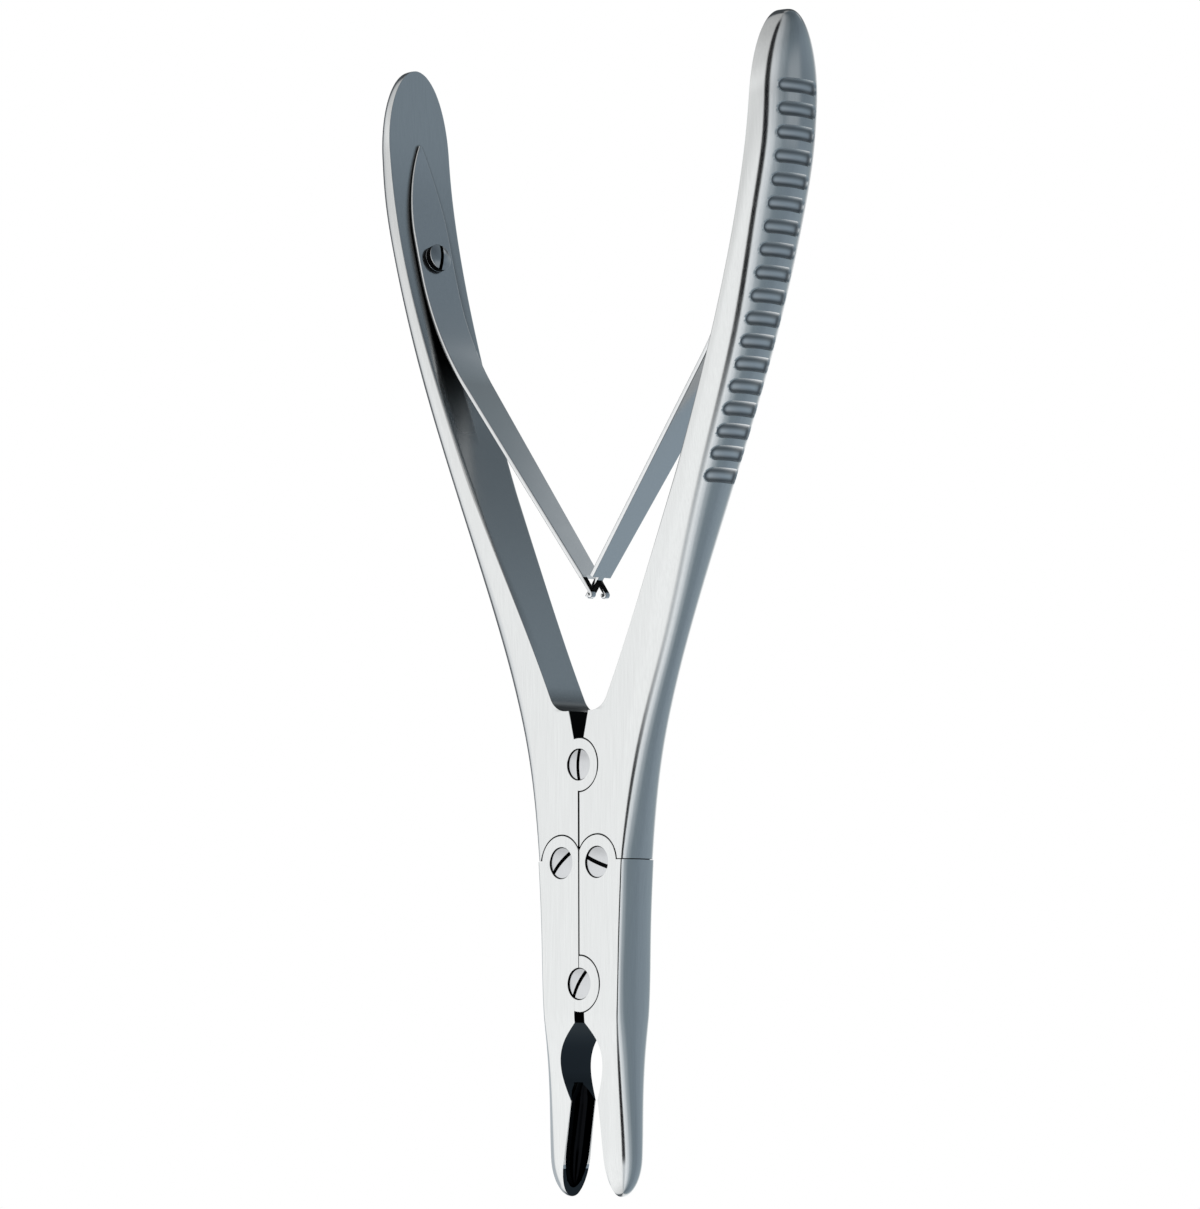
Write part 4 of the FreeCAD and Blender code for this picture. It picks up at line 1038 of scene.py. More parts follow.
print("the nose is", round(nose_length, 2), "mm long")

# %% [markdown]
# ## The cup
#
# The bite of a rongeur is a scoop with a sharp rim. On the real jaw it is milled with a
# gouge-shaped tool and ground out by hand. The tool here is a trough along the open bite: it
# starts in a point, which draws the pointed arch of the rim, and ends round. One ellipsoid
# would be simpler, but its rim would be an oval.

# %% The cup tool
CUP_DEPTH = 3.3
CUP_HALF = 3.2
CUP_START = 15.7
CUP_TAPER = 6.8
CUP_TURN = 32.0
CUP_END = 39.6
# Below 1 the arch is full, above 1 it is hollow
CUP_ARCH = 0.8
CUP_SIDES = 64


def cup_width(distance):
    """The cup's width at a distance from the jaw pivot, as a share of its full width."""
    if distance < CUP_START or distance > CUP_END:
        return 0.0
    if distance < CUP_START + CUP_TAPER:
        return ((distance - CUP_START) / CUP_TAPER) ** CUP_ARCH
    if distance < CUP_TURN:
        return 1.0
    return math.sqrt(1 - ((distance - CUP_TURN) / (CUP_END - CUP_TURN)) ** 2)


def cup_rings():
    """The cup tool: a straight trough with a pointed start and a round end."""
    rings = []
    straight = CUP_START + CUP_TAPER
    places = [CUP_START + CUP_TAPER * (k / 10) ** 1.6 for k in range(11)]
    places += [straight + (CUP_TURN - CUP_START - CUP_TAPER) * k / 8 for k in range(1, 9)]
    places += [CUP_TURN + (CUP_END - CUP_TURN) * math.sin(math.pi / 2 * k / 24)
               for k in range(1, 25)]
    for distance in places:
        wide = max(cup_width(distance), 0.001)
        ring = []
        for c in range(CUP_SIDES):
            turn = 2 * math.pi * c / CUP_SIDES
            x, along = rim_point(distance, CUP_DEPTH * wide * math.cos(turn))
            ring.append((x, along, CUP_HALF * wide * math.sin(turn)))
        rings.append(ring)
    return rings


print("rings of the cup tool:", len(cup_rings()))

# %% [markdown]
# ## Rows and cuts of a jaw
#
# Long even stretches need few rows, the window and the nose need many. The jaw's ears sit
# round its handle's tongue. At the jaw pivot the left jaw has the ears and the right jaw the
# tongue, whose bore is a little wide: four pivots make a closed linkage, and this one gives
# it the play to move.

# %% Build the two jaws
jaw_rows = []


def rows_down(first, last, step):
    """Add rows from one place down to another."""
    along = first
    while along > last:
        jaw_rows.append(along)
        along -= step


rows_down(JAW_HEAD, -44.8, 1.6)
jaw_rows += [-44.88, -44.92]
rows_down(-45.8, -49.5, 0.9)
rows_down(WINDOW_TOP, -64.4, 0.3)
jaw_rows.append(WINDOW_FOOT)
rows_down(-64.9, NOSE_START, 0.5)
jaw_rows += [NOSE_START - nose_length * math.sin(math.pi / 2 * k / 30) for k in range(31)]


RIM_WIDE = 0.12


def make_jaw(side, name):
    """One jaw with its ears or tongue."""
    rings = [jaw_ring(a) for a in jaw_rows]
    metal = jaw_steel
    jaw = outward(ring_grid(name, rings, metal, side))
    combine(jaw, outward(ring_grid("cup", cup_rings(), metal, side)), "DIFFERENCE")
    link = (side * LINK_X, LINK_ALONG)
    below = (0, JAW_ALONG)
    rooms = [middle_room("room", LINK_EYE, link, metal)]
    if side < 0:
        rooms.append(middle_room("room", JAW_EYE + EYE_PLAY, below, metal))
        added = [ear("ear", JAW_EYE, below, front, metal) for front in (True, False)]
    else:
        rooms += [milled_room("room", JAW_EYE + GAP, below, front, metal)
                  for front in (True, False)]
        added = [tongue("tongue", JAW_EYE, below, metal)]
    combine(jaw, join("rooms", rooms), "DIFFERENCE")
    ears = join("ears", [ear("ear", LINK_EYE, link, front, metal) for front in (True, False)])
    combine(ears, seam_block(side, 0, metal), "DIFFERENCE")
    combine(jaw, join("layers", [ears] + added), "UNION")
    combine(jaw, bore("bore", TIGHT_BORE, link, metal), "DIFFERENCE")
    combine(jaw, bore("bore", TIGHT_BORE if side < 0 else LOOSE_BORE, below, metal), "DIFFERENCE")
    combine(jaw, head_seat("seat", link, metal), "DIFFERENCE")
    if side < 0:
        combine(jaw, head_seat("seat", below, metal), "DIFFERENCE")

    def from_bite(p):
        """How far a point is behind the bite line, and how far it is down that line."""
        x, y = side * p.x, p.y - JAW_ALONG
        return (x * math.cos(OPEN) + y * math.sin(OPEN), x * math.sin(OPEN) - y * math.cos(OPEN))

    def painted_gap_shade(p, n):
        """Faces inside the fine gaps of the lock, which get painted shade."""
        if p.y < WINDOW_TOP - 0.1:
            return False
        wall = abs(n.z) < 0.4
        return ((abs(p.x) < 1.6 and abs(n.x) > 0.7) or (n.y > 0.9 and p.y > -19)
                or (wall and near_ring(p, below, 0, 5.8))
                or (wall and near_ring(p, link, 0, 5.3) and abs(p.x) < 9.4)
                or abs(p.z) < 2.5 and abs(n.z) > 0.9)

    def hollow(p, n):
        """The window and the cup, polished like a mirror, with painted shade."""
        if p.y > WINDOW_TOP - 0.1 or side * n.x > -0.25:
            return False
        return p.y > WINDOW_FOOT + 0.1 or from_bite(p)[0] > RIM_WIDE

    def rim(p, n):
        """The ground edge round the cup, painted pale as a highlight."""
        return (-77 < p.y < WINDOW_FOOT + 0.1 and side * n.x < -0.25
                and abs(from_bite(p)[0]) < RIM_WIDE)

    def in_cup(p, n):
        """The trough of the cup, also where it runs out in the window, painted darker as shade."""
        if p.y > -56 or side * n.x > -0.05:
            return False
        across, distance = from_bite(p)
        wide = cup_width(distance)
        return wide > 0 and 0.94 < math.hypot(across / CUP_DEPTH, p.z / CUP_HALF) / wide < 1.03

    mark_faces(jaw, "painted_gap_shade", painted_gap_shade)
    mark_faces(jaw, "hollow", hollow)
    mark_faces(jaw, "cup", in_cup)
    mark_faces(jaw, "rim", rim)
    return finish_shading(jaw)


for side, body in ((-1, "left_jaw"), (1, "right_jaw")):
    jaw = make_jaw(side, body + "_dressed")
    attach(jaw, body)
    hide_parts(body)
    print(body, triangles(jaw), "triangles")

# %% [markdown]
# ## The screws
#
# All six screws are the same kind of turned piece: a domed head with a slot and a plain
# shank. A Geometry Nodes tree turns a profile round an axis and mills the slot, so one tree
# with a few sizes makes them all.

# %% The screw tree
def screw_tree():
    """A node group that turns a profile of (radius, height) points and cuts a slot."""
    tree = bpy.data.node_groups.new("turned_screw", "GeometryNodeTree")
    face = tree.interface
    face.new_socket("Geometry", in_out="INPUT", socket_type="NodeSocketGeometry")
    for name in ("Profile Points", "Steps"):
        face.new_socket(name, in_out="INPUT", socket_type="NodeSocketInt")
    for name in ("Top", "Slot Width", "Slot Depth", "Slot Length", "Slot Angle"):
        face.new_socket(name, in_out="INPUT", socket_type="NodeSocketFloat")
    for name in ("Place", "Turn"):
        face.new_socket(name, in_out="INPUT", socket_type="NodeSocketVector")
    face.new_socket("Material", in_out="INPUT", socket_type="NodeSocketMaterial")
    face.new_socket("Geometry", in_out="OUTPUT", socket_type="NodeSocketGeometry")
    given = add(tree, "NodeGroupInput").outputs

    # A grid with one column for each step of the turn and one row for each profile point
    columns = add(tree, math_node, {"operation": "ADD"}, {0: given["Steps"], 1: 1.0})
    grid = add(tree, "GeometryNodeMeshGrid", {}, {
        "Size X": 1.0, "Size Y": 1.0, "Vertices X": columns, "Vertices Y": given["Profile Points"]})
    index = add(tree, "GeometryNodeInputIndex")
    column = add(tree, math_node, {"operation": "DIVIDE"}, {0: index, 1: given["Profile Points"]})
    column = add(tree, math_node, {"operation": "FLOOR"}, {0: column})
    station = add(tree, math_node, {"operation": "MODULO"}, {0: index, 1: given["Profile Points"]})
    # Each grid point takes its place from the profile, turned by its column
    position = add(tree, "GeometryNodeInputPosition")
    there = add(tree, "GeometryNodeSampleIndex", {"data_type": "FLOAT_VECTOR"}, {
        "Geometry": given["Geometry"], "Value": position, "Index": station}).outputs["Value"]
    angle = add(tree, math_node, {"operation": "DIVIDE"}, {0: column, 1: given["Steps"]})
    angle = add(tree, math_node, {"operation": "MULTIPLY"}, {0: angle, 1: 2 * math.pi})
    spun = add(tree, "ShaderNodeVectorRotate", {"rotation_type": "Z_AXIS"}, {
        "Vector": there, "Angle": angle})
    turned = add(tree, "GeometryNodeSetPosition", {}, {"Geometry": grid, "Position": spun})
    closed = add(tree, "GeometryNodeMergeByDistance", {}, {
        "Geometry": turned, "Distance": 0.000001})
    # The slot: a bar set into the top of the head
    deep = add(tree, math_node, {"operation": "MULTIPLY"}, {0: given["Slot Depth"], 1: 2.0})
    bar_size = add(tree, "ShaderNodeCombineXYZ", {}, {
        "X": given["Slot Length"], "Y": given["Slot Width"], "Z": deep})
    bar = add(tree, "GeometryNodeMeshCube", {}, {"Size": bar_size})
    lift_to_top = add(tree, "ShaderNodeCombineXYZ", {}, {"Z": given["Top"]})
    slot_turn = add(tree, "ShaderNodeCombineXYZ", {}, {"Z": given["Slot Angle"]})
    placed_bar = add(tree, "GeometryNodeTransform", {}, {
        "Geometry": bar, "Translation": lift_to_top, "Rotation": slot_turn})
    milled = add(tree, "GeometryNodeMeshBoolean", {
        "operation": "DIFFERENCE", "solver": "EXACT"}, {"Mesh 1": closed, "Mesh 2": placed_bar})
    placed = add(tree, "GeometryNodeTransform", {}, {
        "Geometry": milled, "Translation": given["Place"], "Rotation": given["Turn"]})
    real = add(tree, "GeometryNodeRealizeInstances", {}, {"Geometry": placed})
    dressed = add(tree, "GeometryNodeSetMaterial", {}, {
        "Geometry": real, "Material": given["Material"]})
    add(tree, "NodeGroupOutput", {}, {"Geometry": dressed})
    return tree


screws = screw_tree()
print("screw tree has", len(screws.nodes), "nodes")

# %% [markdown]
# ## Turning one screw
#
# The profile runs from the end of the shank up to the middle of the domed head, with a small
# round rim. The tree turns it; then the faces inside the slot and on the head's side, which
# sit in shade, are marked. The slots stand at the angles of the photograph, because a fitter
# stops turning where the screw is tight and not where it looks tidy.

# %% Turn the pivot screws
RIM_ACROSS = 0.16
RIM_UP = 0.12
HEAD_CHAMFER = 0.05
SHANK_CHAMFER = 0.2
SLOT_WIDTH = 0.8
SLOT_DEPTH = 0.75
STEPS_ROUND = 72


def turned_screw(name, radius, height, dome, shank, length, slot_angle, place, turn):
    """One screw, with the underside of its head at its place."""
    profile = [(0, -length), (shank - SHANK_CHAMFER, -length), (shank, -length + SHANK_CHAMFER),
               (shank, 0), (radius - HEAD_CHAMFER, 0), (radius, HEAD_CHAMFER),
               (radius, height - dome - RIM_UP)]
    for k in range(1, 4):
        bend = math.pi / 2 * k / 3
        profile.append((radius - RIM_ACROSS * (1 - math.cos(bend)),
                        height - dome - RIM_UP + RIM_UP * math.sin(bend)))
    for k in range(1, 9):
        share = 1 - k / 8
        profile.append(((radius - RIM_ACROSS) * share, height - dome * (share * share)))
    profile[-1] = (0, height)
    mesh = bpy.data.meshes.new(name)
    mesh.from_pydata([(r / 1000, 0, h / 1000) for r, h in profile],
                     [(k, k + 1) for k in range(len(profile) - 1)], [])
    made = bpy.data.objects.new(name, mesh)
    bpy.context.scene.collection.objects.link(made)
    # The bar that mills the slot is 1.2 times as long as the head is wide
    run_tree(made, screws, {
        "Profile Points": len(profile), "Steps": STEPS_ROUND, "Top": height / 1000,
        "Slot Width": SLOT_WIDTH / 1000, "Slot Depth": SLOT_DEPTH / 1000,
        "Slot Length": 0.0024 * radius, "Slot Angle": math.radians(slot_angle),
        "Place": place, "Turn": turn, "Material": screw_steel})
    outward(made)
    back_again = (Matrix.Translation(place) @ Euler(turn).to_matrix().to_4x4()).inverted()

    def in_slot(p, n):
        """The walls and floor of the slot, and the side of the head, which get painted shade."""
        up = (back_again @ metres(*p) * 1000).z
        faces_up = (back_again.to_3x3() @ n).z
        on_floor = abs(up - (height - SLOT_DEPTH)) < 0.03 and faces_up > 0.9
        return up > 0 and (abs(faces_up) < 0.3 or on_floor)

    mark_faces(made, "painted_gap_shade", in_slot)
    return finish_shading(made, 30)


PIVOT_SCREWS = (
    ("handle_pivot_screw", "left_handle", (0, 0), 88),
    ("left_link_screw", "left_jaw", (-LINK_X, LINK_ALONG), 40),
    ("right_link_screw", "right_jaw", (LINK_X, LINK_ALONG), -20),
    ("jaw_pivot_screw", "left_jaw", (0, JAW_ALONG), 55),
)
PIVOT_SIZES = {"radius": 2.99, "height": 1.675, "dome": 0.4, "shank": 2.0,
               "length": 2 * half_lock - 1.5}
for node, body, (x, along), slot_angle in PIVOT_SCREWS:
    screw = turned_screw(node + "_dressed", slot_angle=slot_angle, turn=(0, 0, 0),
                         place=metres(x, along, HEAD_SEAT), **PIVOT_SIZES)
    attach(screw, body)
    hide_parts(node)
    print(node, triangles(screw), "triangles")

# %% [markdown]
# ## The leaf springs
#
# Each leaf is a strip of spring steel. Its lancet-shaped foot lies on the handle's inner
# face under a screw, then it lifts off in an easy bend and runs straight to the middle,
# where one leaf ends in a fork of two curled prongs and the other in a tongue that passes
# between them. A strip that follows a path could be a bevelled curve, but a bevelled curve
# can't change its width without its thickness, so the strip is skinned ring by ring.

# %% The path of a leaf
LEAF_THICK = 0.95
LEAF_END = 5.2
LEAF_BEND = 62.0
LEAF_CROSS = 34.7
SEAT_GAP = 0.03
HINGE_SHARE = 0.62
ROOT_SHARE = 0.15


def direction_at(along):
    """The inner face's direction towards the handle end, as (x, along)."""
    rise = (inner_face(along + 0.1) - inner_face(along - 0.1)) / 0.2
    length = math.sqrt(1 + rise * rise)
    return Vector((rise / length, 1 / length))


def seat_point(along):
    """The leaf's middle line where it lies on the handle."""
    heading = direction_at(along)
    away = SEAT_GAP + LEAF_THICK / 2
    return Vector((inner_face(along) - heading.y * away, along + heading.x * away))


lift = seat_point(LEAF_LIFT)
lift_heading = direction_at(LEAF_LIFT)
bend_centre = lift + Vector((-lift_heading.y, lift_heading.x)) * LEAF_BEND
cross = Vector((0, LEAF_CROSS))
to_cross = cross - bend_centre
spread = math.acos(LEAF_BEND / to_cross.length)
base_angle = math.atan2(to_cross.y, to_cross.x)
touches = [bend_centre + LEAF_BEND * Vector((math.cos(base_angle + s * spread),
                                             math.sin(base_angle + s * spread)))
           for s in (1, -1)]
bend_end = min(touches, key=lambda p: (p - lift).length)
run_heading = (cross - bend_end).normalized()
run_length = (cross - bend_end).length


def on_bend(share):
    """A point of the bend's middle line, as a share of the way round."""
    first = math.atan2(lift.y - bend_centre.y, lift.x - bend_centre.x)
    last = math.atan2(bend_end.y - bend_centre.y, bend_end.x - bend_centre.x)
    angle = first + share * ((last - first + math.pi) % (2 * math.pi) - math.pi)
    return bend_centre + LEAF_BEND * Vector((math.cos(angle), math.sin(angle)))


hinge = on_bend(HINGE_SHARE)
print("leaf: bend ends at", [round(v, 2) for v in bend_end], "run", round(run_length, 2),
      "hinge", [round(v, 3) for v in hinge])

# %% [markdown]
# ## Skinning a strip
#
# A strip's ring is a rounded rectangle across the path. The path gives its middle and its
# heading, and each station its own width and thickness: the foot is a wide lancet that gets
# thin towards its tip, and the run narrows evenly to the shoulder before the crossing.

# %% Rings and stations of a leaf
def strip_ring(centre, heading, wide, thick, rounding):
    """A rounded rectangle across a path, wide along Z."""
    sideways = Vector((-heading.y, heading.x))
    r = max(0.005, min(rounding, 0.49 * wide, 0.49 * thick))
    ring = []
    for sx, sz, start in ((1, 1, 0), (-1, 1, 90), (-1, -1, 180), (1, -1, 270)):
        for k in range(5):
            turn = math.radians(start + 90 * k / 4)
            shift = sx * (thick / 2 - r) + r * math.cos(turn)
            z = sz * (wide / 2 - r) + r * math.sin(turn)
            point = centre + sideways * shift
            ring.append((point.x, point.y, z))
    return ring


def skin_strip(name, stations, side):
    """A strip through (centre, heading, width, thickness) stations."""
    rings = [strip_ring(c, h, w, t, 0.3) for c, h, w, t in stations]
    return outward(ring_grid(name, rings, leaf_steel, side))


# Where the strip ends in a shoulder before the crossing
FORK_ROOT = 2.3
shoulder_at = run_length - FORK_ROOT
reach = (bend_end - hinge).dot(run_heading) + run_length - FORK_ROOT
hinge_width = LEAF_FOOT - ROOT_SHARE * (LEAF_FOOT - LEAF_END)


def run_width(point):
    """How wide the strip is at a point past the hinge."""
    done = (point - hinge).dot(run_heading)
    return hinge_width - (hinge_width - LEAF_END) * done / reach


def leaf_stations():
    """The path from the lancet tip to the shoulder before the crossing."""
    made = []
    steps = 44
    for k in range(steps + 1):
        share = k / steps
        along = LEAF_TIP - (LEAF_TIP - LEAF_LIFT) * (share ** 1.6)
        heading = direction_at(along)
        thick = LEAF_THICK - 0.45 * between(LEAF_TIP - 24, LEAF_TIP, along)
        to_seat = Vector((heading.y, -heading.x)) * ((LEAF_THICK - thick) / 2)
        made.append((seat_point(along) + to_seat, heading * -1, max(0.3, foot_width(along)), thick))
    for k in range(1, 25):
        share = k / 24
        point = on_bend(share)
        radial = (point - bend_centre).normalized()
        heading = Vector((radial.y, -radial.x))
        if heading.dot(run_heading) < 0:
            heading = -heading
        if share <= HINGE_SHARE:
            wide = LEAF_FOOT + (hinge_width - LEAF_FOOT) * share / HINGE_SHARE
        else:
            wide = run_width(point)
        made.append((point, heading, wide, LEAF_THICK))
    for k in range(1, 13):
        distance = shoulder_at * k / 12
        point = bend_end + run_heading * distance
        made.append((point, run_heading, run_width(point), LEAF_THICK))
    return made


print("stations along a leaf:", len(leaf_stations()))

# %% [markdown]
# ## Fork and tongue
#
# The left leaf ends in a fork, the right one in a tongue that passes between its prongs. The
# prongs are bent back in a small curl, so that the leaves can't slip off each other. Each
# end starts inside its leaf, as a shell of its own. A Boolean would weld them, but the
# overlap never shows.

# %% Build the two leaves
FORK_SLOT = 2.4
OVERLAP = 0.8
PRONG_PAST = 1.9
TONGUE_PAST = 2.6
TONGUE_WIDE = 1.8
CURL_RADIUS = 0.42
CURL_TURN = 250


def straight_end(past, wide, thinning):
    """Stations from inside the leaf to a distance past the crossing."""
    made = []
    for k in range(9):
        distance = run_length - FORK_ROOT - OVERLAP + (FORK_ROOT + OVERLAP + past) * k / 8
        made.append((bend_end + run_heading * distance, run_heading, wide,
                     LEAF_THICK - 0.02 - thinning * k / 8))
    return made


def prong(side, flip, name):
    """One prong of the fork: a narrow strip that ends in a curl."""
    wide = (LEAF_END - FORK_SLOT) / 2
    shift = flip * (LEAF_END + FORK_SLOT) / 4
    stations = straight_end(PRONG_PAST, wide, 0.25)
    sideways = Vector((-run_heading.y, run_heading.x))
    centre = stations[-1][0] + sideways * CURL_RADIUS
    for k in range(1, 19):
        turn = math.radians(CURL_TURN * k / 18)
        arm = -sideways * math.cos(turn) + run_heading * math.sin(turn)
        heading = sideways * math.sin(turn) + run_heading * math.cos(turn)
        stations.append((centre + arm * CURL_RADIUS, heading, wide, 0.68 * (1 - 0.3 * k / 18)))
    rings = [[(x, a, z + shift) for x, a, z in strip_ring(c, h, w, t, 0.3)]
             for c, h, w, t in stations]
    return outward(ring_grid(name, rings, leaf_steel, side))


def make_leaf(side, name):
    """One leaf, with a fork on the left and a tongue on the right."""
    parts = [skin_strip(name + "_strip", leaf_stations(), side)]
    if side < 0:
        parts += [prong(side, flip, name + "_prong") for flip in (1, -1)]
    else:
        stations = straight_end(TONGUE_PAST, TONGUE_WIDE, 0.0)
        parts.append(skin_strip(name + "_tongue", stations, side))
    leaf = join(name, parts)

    def shaded(p, n):
        """Where fork and tongue lie inside each other, and the light doesn't reach."""
        return math.hypot(p.x, p.y - LEAF_CROSS) < 1.9 and n.z < 0.6

    mark_faces(leaf, "painted_gap_shade", shaded)
    return finish_shading(leaf, 40)


for side, word in ((-1, "left"), (1, "right")):
    leaf = make_leaf(side, word + "_leaf_spring")
    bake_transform(leaf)
    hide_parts(word + "_spring_foot", word + "_spring_arm")
    print(word, "leaf", triangles(leaf), "triangles")

# %% [markdown]
# ## The spring screws
#
# The same tree turns the two screws that hold the leaves. They stand square to the handle's
# inner face, so each gets a place and a turn. Their heads stay proud of the leaf.

# %% Turn the spring screws
SPRING_SCREW = 102.4
SPRING_SIZES = {"radius": 2.7, "height": 1.8, "dome": 0.5, "shank": 1.5, "length": 4.85}
for side, word, slot_angle in ((-1, "left", 90), (1, "right", 80)):
    heading = direction_at(SPRING_SCREW)
    inward = Vector((heading.y, -heading.x))
    base = Vector((inner_face(SPRING_SCREW), SPRING_SCREW)) - inward * (LEAF_THICK + 2 * SEAT_GAP)
    axis = Vector((-side * inward.x, -inward.y, 0))
    turn = Vector((0, 0, 1)).rotation_difference(axis).to_euler()
    screw = turned_screw(word + "_spring_screw_dressed", slot_angle=slot_angle, turn=tuple(turn),
                         place=metres(side * base.x, base.y, 0), **SPRING_SIZES)
    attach(screw, word + "_handle")
    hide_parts(word + "_spring_screw")
    print(word, "spring screw", triangles(screw), "triangles")

# %% [markdown]
# ## Camera
#
# The photograph was taken with a long lens from about 1.2 m, halfway between the front and
# the right side, a little below the middle. A camera can be turned by eye until the screws
# lie on those of the photograph. Here its place comes from a fit to the screws, the seams and
# the handle ends, and the lens from how many pixels a millimetre takes at the pivots.

# %% Place the camera
DISTANCE = 1.2083
AIM = Vector((0, 0.00203, 0.0082))
ROLL = -0.162
SENSOR = 36.0
PHOTO_HEIGHT = 1209
PIXELS_PER_MM = 5.17
SHIFT_PIXELS = 4.75
turn_round = math.radians(45.0)
below = math.radians(-4.35)
back = Vector((math.sin(turn_round) * math.cos(below), math.sin(below),
               math.cos(turn_round) * math.cos(below)))
rightwards = Vector((math.cos(turn_round), 0, -math.sin(turn_round)))
upwards = back.cross(rightwards)
camera_data = bpy.data.cameras.new("camera")
camera = bpy.data.objects.new("camera", camera_data)
bpy.context.scene.collection.objects.link(camera)
axes = Matrix((rightwards, upwards, back)).transposed().to_4x4()
camera.matrix_world = Matrix.Translation(AIM + back * DISTANCE) @ axes @ Matrix.Rotation(
    math.radians(ROLL), 4, "Z")
camera_data.sensor_width = SENSOR
camera_data.lens = PIXELS_PER_MM * DISTANCE * 1000 * SENSOR / PHOTO_HEIGHT
camera_data.shift_x = SHIFT_PIXELS / PHOTO_HEIGHT
camera_data.clip_start = 0.1
camera_data.clip_end = 20.0
bpy.context.scene.camera = camera
print("lens", round(camera_data.lens, 1), "mm")

# %% [markdown]
# ## Light for bright metal
#
# Polished steel shows its surroundings more than its own colour. A product photographer puts
# it on white, with large soft boxes, and lets dark cards draw its sides and edges. The world
# is plain white to the camera and a little lower as light. The floor lies far below, so the
# instrument stands free with hardly a shadow, as in the photograph.

# %% World and floor
scene = bpy.context.scene
scene.view_settings.view_transform = "Standard"
world = bpy.data.worlds.new("white_studio")
scene.world = world
world.use_nodes = True
tree = world.node_tree
tree.nodes.clear()
rays = add(tree, "ShaderNodeLightPath").outputs
seen = add(tree, "ShaderNodeMath", {"operation": "MAXIMUM"}, {
    0: rays["Is Camera Ray"], 1: rays["Is Glossy Ray"]})
seen = add(tree, "ShaderNodeMath", {"operation": "MAXIMUM"}, {
    0: seen, 1: rays["Is Transmission Ray"]})
plain = add(tree, "ShaderNodeBackground", {}, {"Color": linear("#ffffff"), "Strength": 0.7})
white = add(tree, "ShaderNodeBackground", {}, {"Color": linear("#ffffff"), "Strength": 1.0})
chosen = add(tree, "ShaderNodeMixShader", {}, {0: seen, 1: plain, 2: white})
add(tree, "ShaderNodeOutputWorld", {}, {"Surface": chosen})

FLOOR = -600.0
floor_material, tree = new_material("pale_studio_floor")
rays = add(tree, "ShaderNodeLightPath").outputs
seen = add(tree, "ShaderNodeMath", {"operation": "MAXIMUM"}, {
    0: rays["Is Camera Ray"], 1: rays["Is Glossy Ray"]})
# Matt white paper, shown as plain white where it is seen
paper = add(tree, "ShaderNodeBsdfPrincipled", {}, {
    "Base Color": linear("#f4f4f3"), "Roughness": 0.8})
glow = add(tree, "ShaderNodeEmission", {}, {"Color": linear("#ffffff"), "Strength": 1.0})
chosen = add(tree, "ShaderNodeMixShader", {}, {0: seen, 1: paper, 2: glow})
add(tree, "ShaderNodeOutputMaterial", {}, {"Surface": chosen})
FLOOR_HALF = 3000
corners = [(x * FLOOR_HALF, a * FLOOR_HALF, FLOOR) for x, a in ((-1, -1), (1, -1), (1, 1), (-1, 1))]
floor = mesh_object("studio_floor", corners, [(0, 1, 2, 3)], floor_material)
print("floor", -FLOOR, "mm below the instrument")

# %% [markdown]
# ## What the metal sees
#
# Area lamps and real cards would do, but each would also light the scene. This sphere can be
# seen by reflections alone. Its tone goes round the instrument and from below to above it,
# and five cards lie on top: grey and dark ones that tone the sides that turn away, and a
# black one where the camera and the photographer stood.

# %% The studio's tones
# Angles round the instrument: 0 is straight above it, 90 is to the right, 45 is the camera
SHELL_STRENGTH = 1.3
BLUE_GREY = (0.205, 0.25, 0.29)
SHELL_ROUND = (
    (-180, (0.28, 0.33, 0.36)), (-170, (0.5, 0.52, 0.54)), (-158, (0.85, 0.86, 0.87)),
    (-140, (0.8, 0.81, 0.82)), (-128, (0.12, 0.13, 0.14)), (-104, (0.08, 0.09, 0.1)),
    (-84, (0.8, 0.81, 0.82)), (-62, (0.9, 0.9, 0.9)), (-30, (0.93, 0.93, 0.93)),
    (32, (0.9, 0.9, 0.9)), (44, (0.5, 0.52, 0.54)), (57, (0.78, 0.8, 0.82)),
    (68, (0.62, 0.65, 0.68)), (82, (0.32, 0.36, 0.39)), (100, (0.17, 0.21, 0.24)),
    (122, (0.17, 0.21, 0.245)), (140, BLUE_GREY), (165, (0.24, 0.29, 0.33)),
    (180, (0.28, 0.33, 0.36)))
SHELL_UP = (
    (-90, (0.7, 0.7, 0.7)), (-45, (1.0, 1.0, 1.0)), (-20, (1.0, 1.0, 1.0)),
    (4, (0.95, 0.95, 0.95)), (10, (0.84, 0.84, 0.84)), (16, (0.72, 0.72, 0.72)),
    (24, (0.85, 0.85, 0.85)), (36, (0.66, 0.66, 0.66)), (60, (0.5, 0.5, 0.5)),
    (90, (0.4, 0.4, 0.4)))
# Cards in front of the shell: a colour, then low, high and soft edge round and up, in degrees
SHELL_CARDS = (
    ((0.27, 0.3, 0.325), (104.0, 120.0, 14.0), (8.0, 20.0, 8.0)),
    ((0.42, 0.45, 0.48), (-114.0, -80.0, 14.0), (-34.0, -8.0, 6.0)),
    ((0.05, 0.055, 0.06), (-172.0, -124.0, 8.0), (34.0, 70.0, 10.0)),
    ((0.4, 0.425, 0.445), (168.0, 178.0, 5.0), (38.0, 46.6, 3.0)),
    ((0.004, 0.004, 0.005), (37.5, 51.0, 4.0), (-14.0, 60.0, 14.0)),
)
print("cards in the studio:", len(SHELL_CARDS))

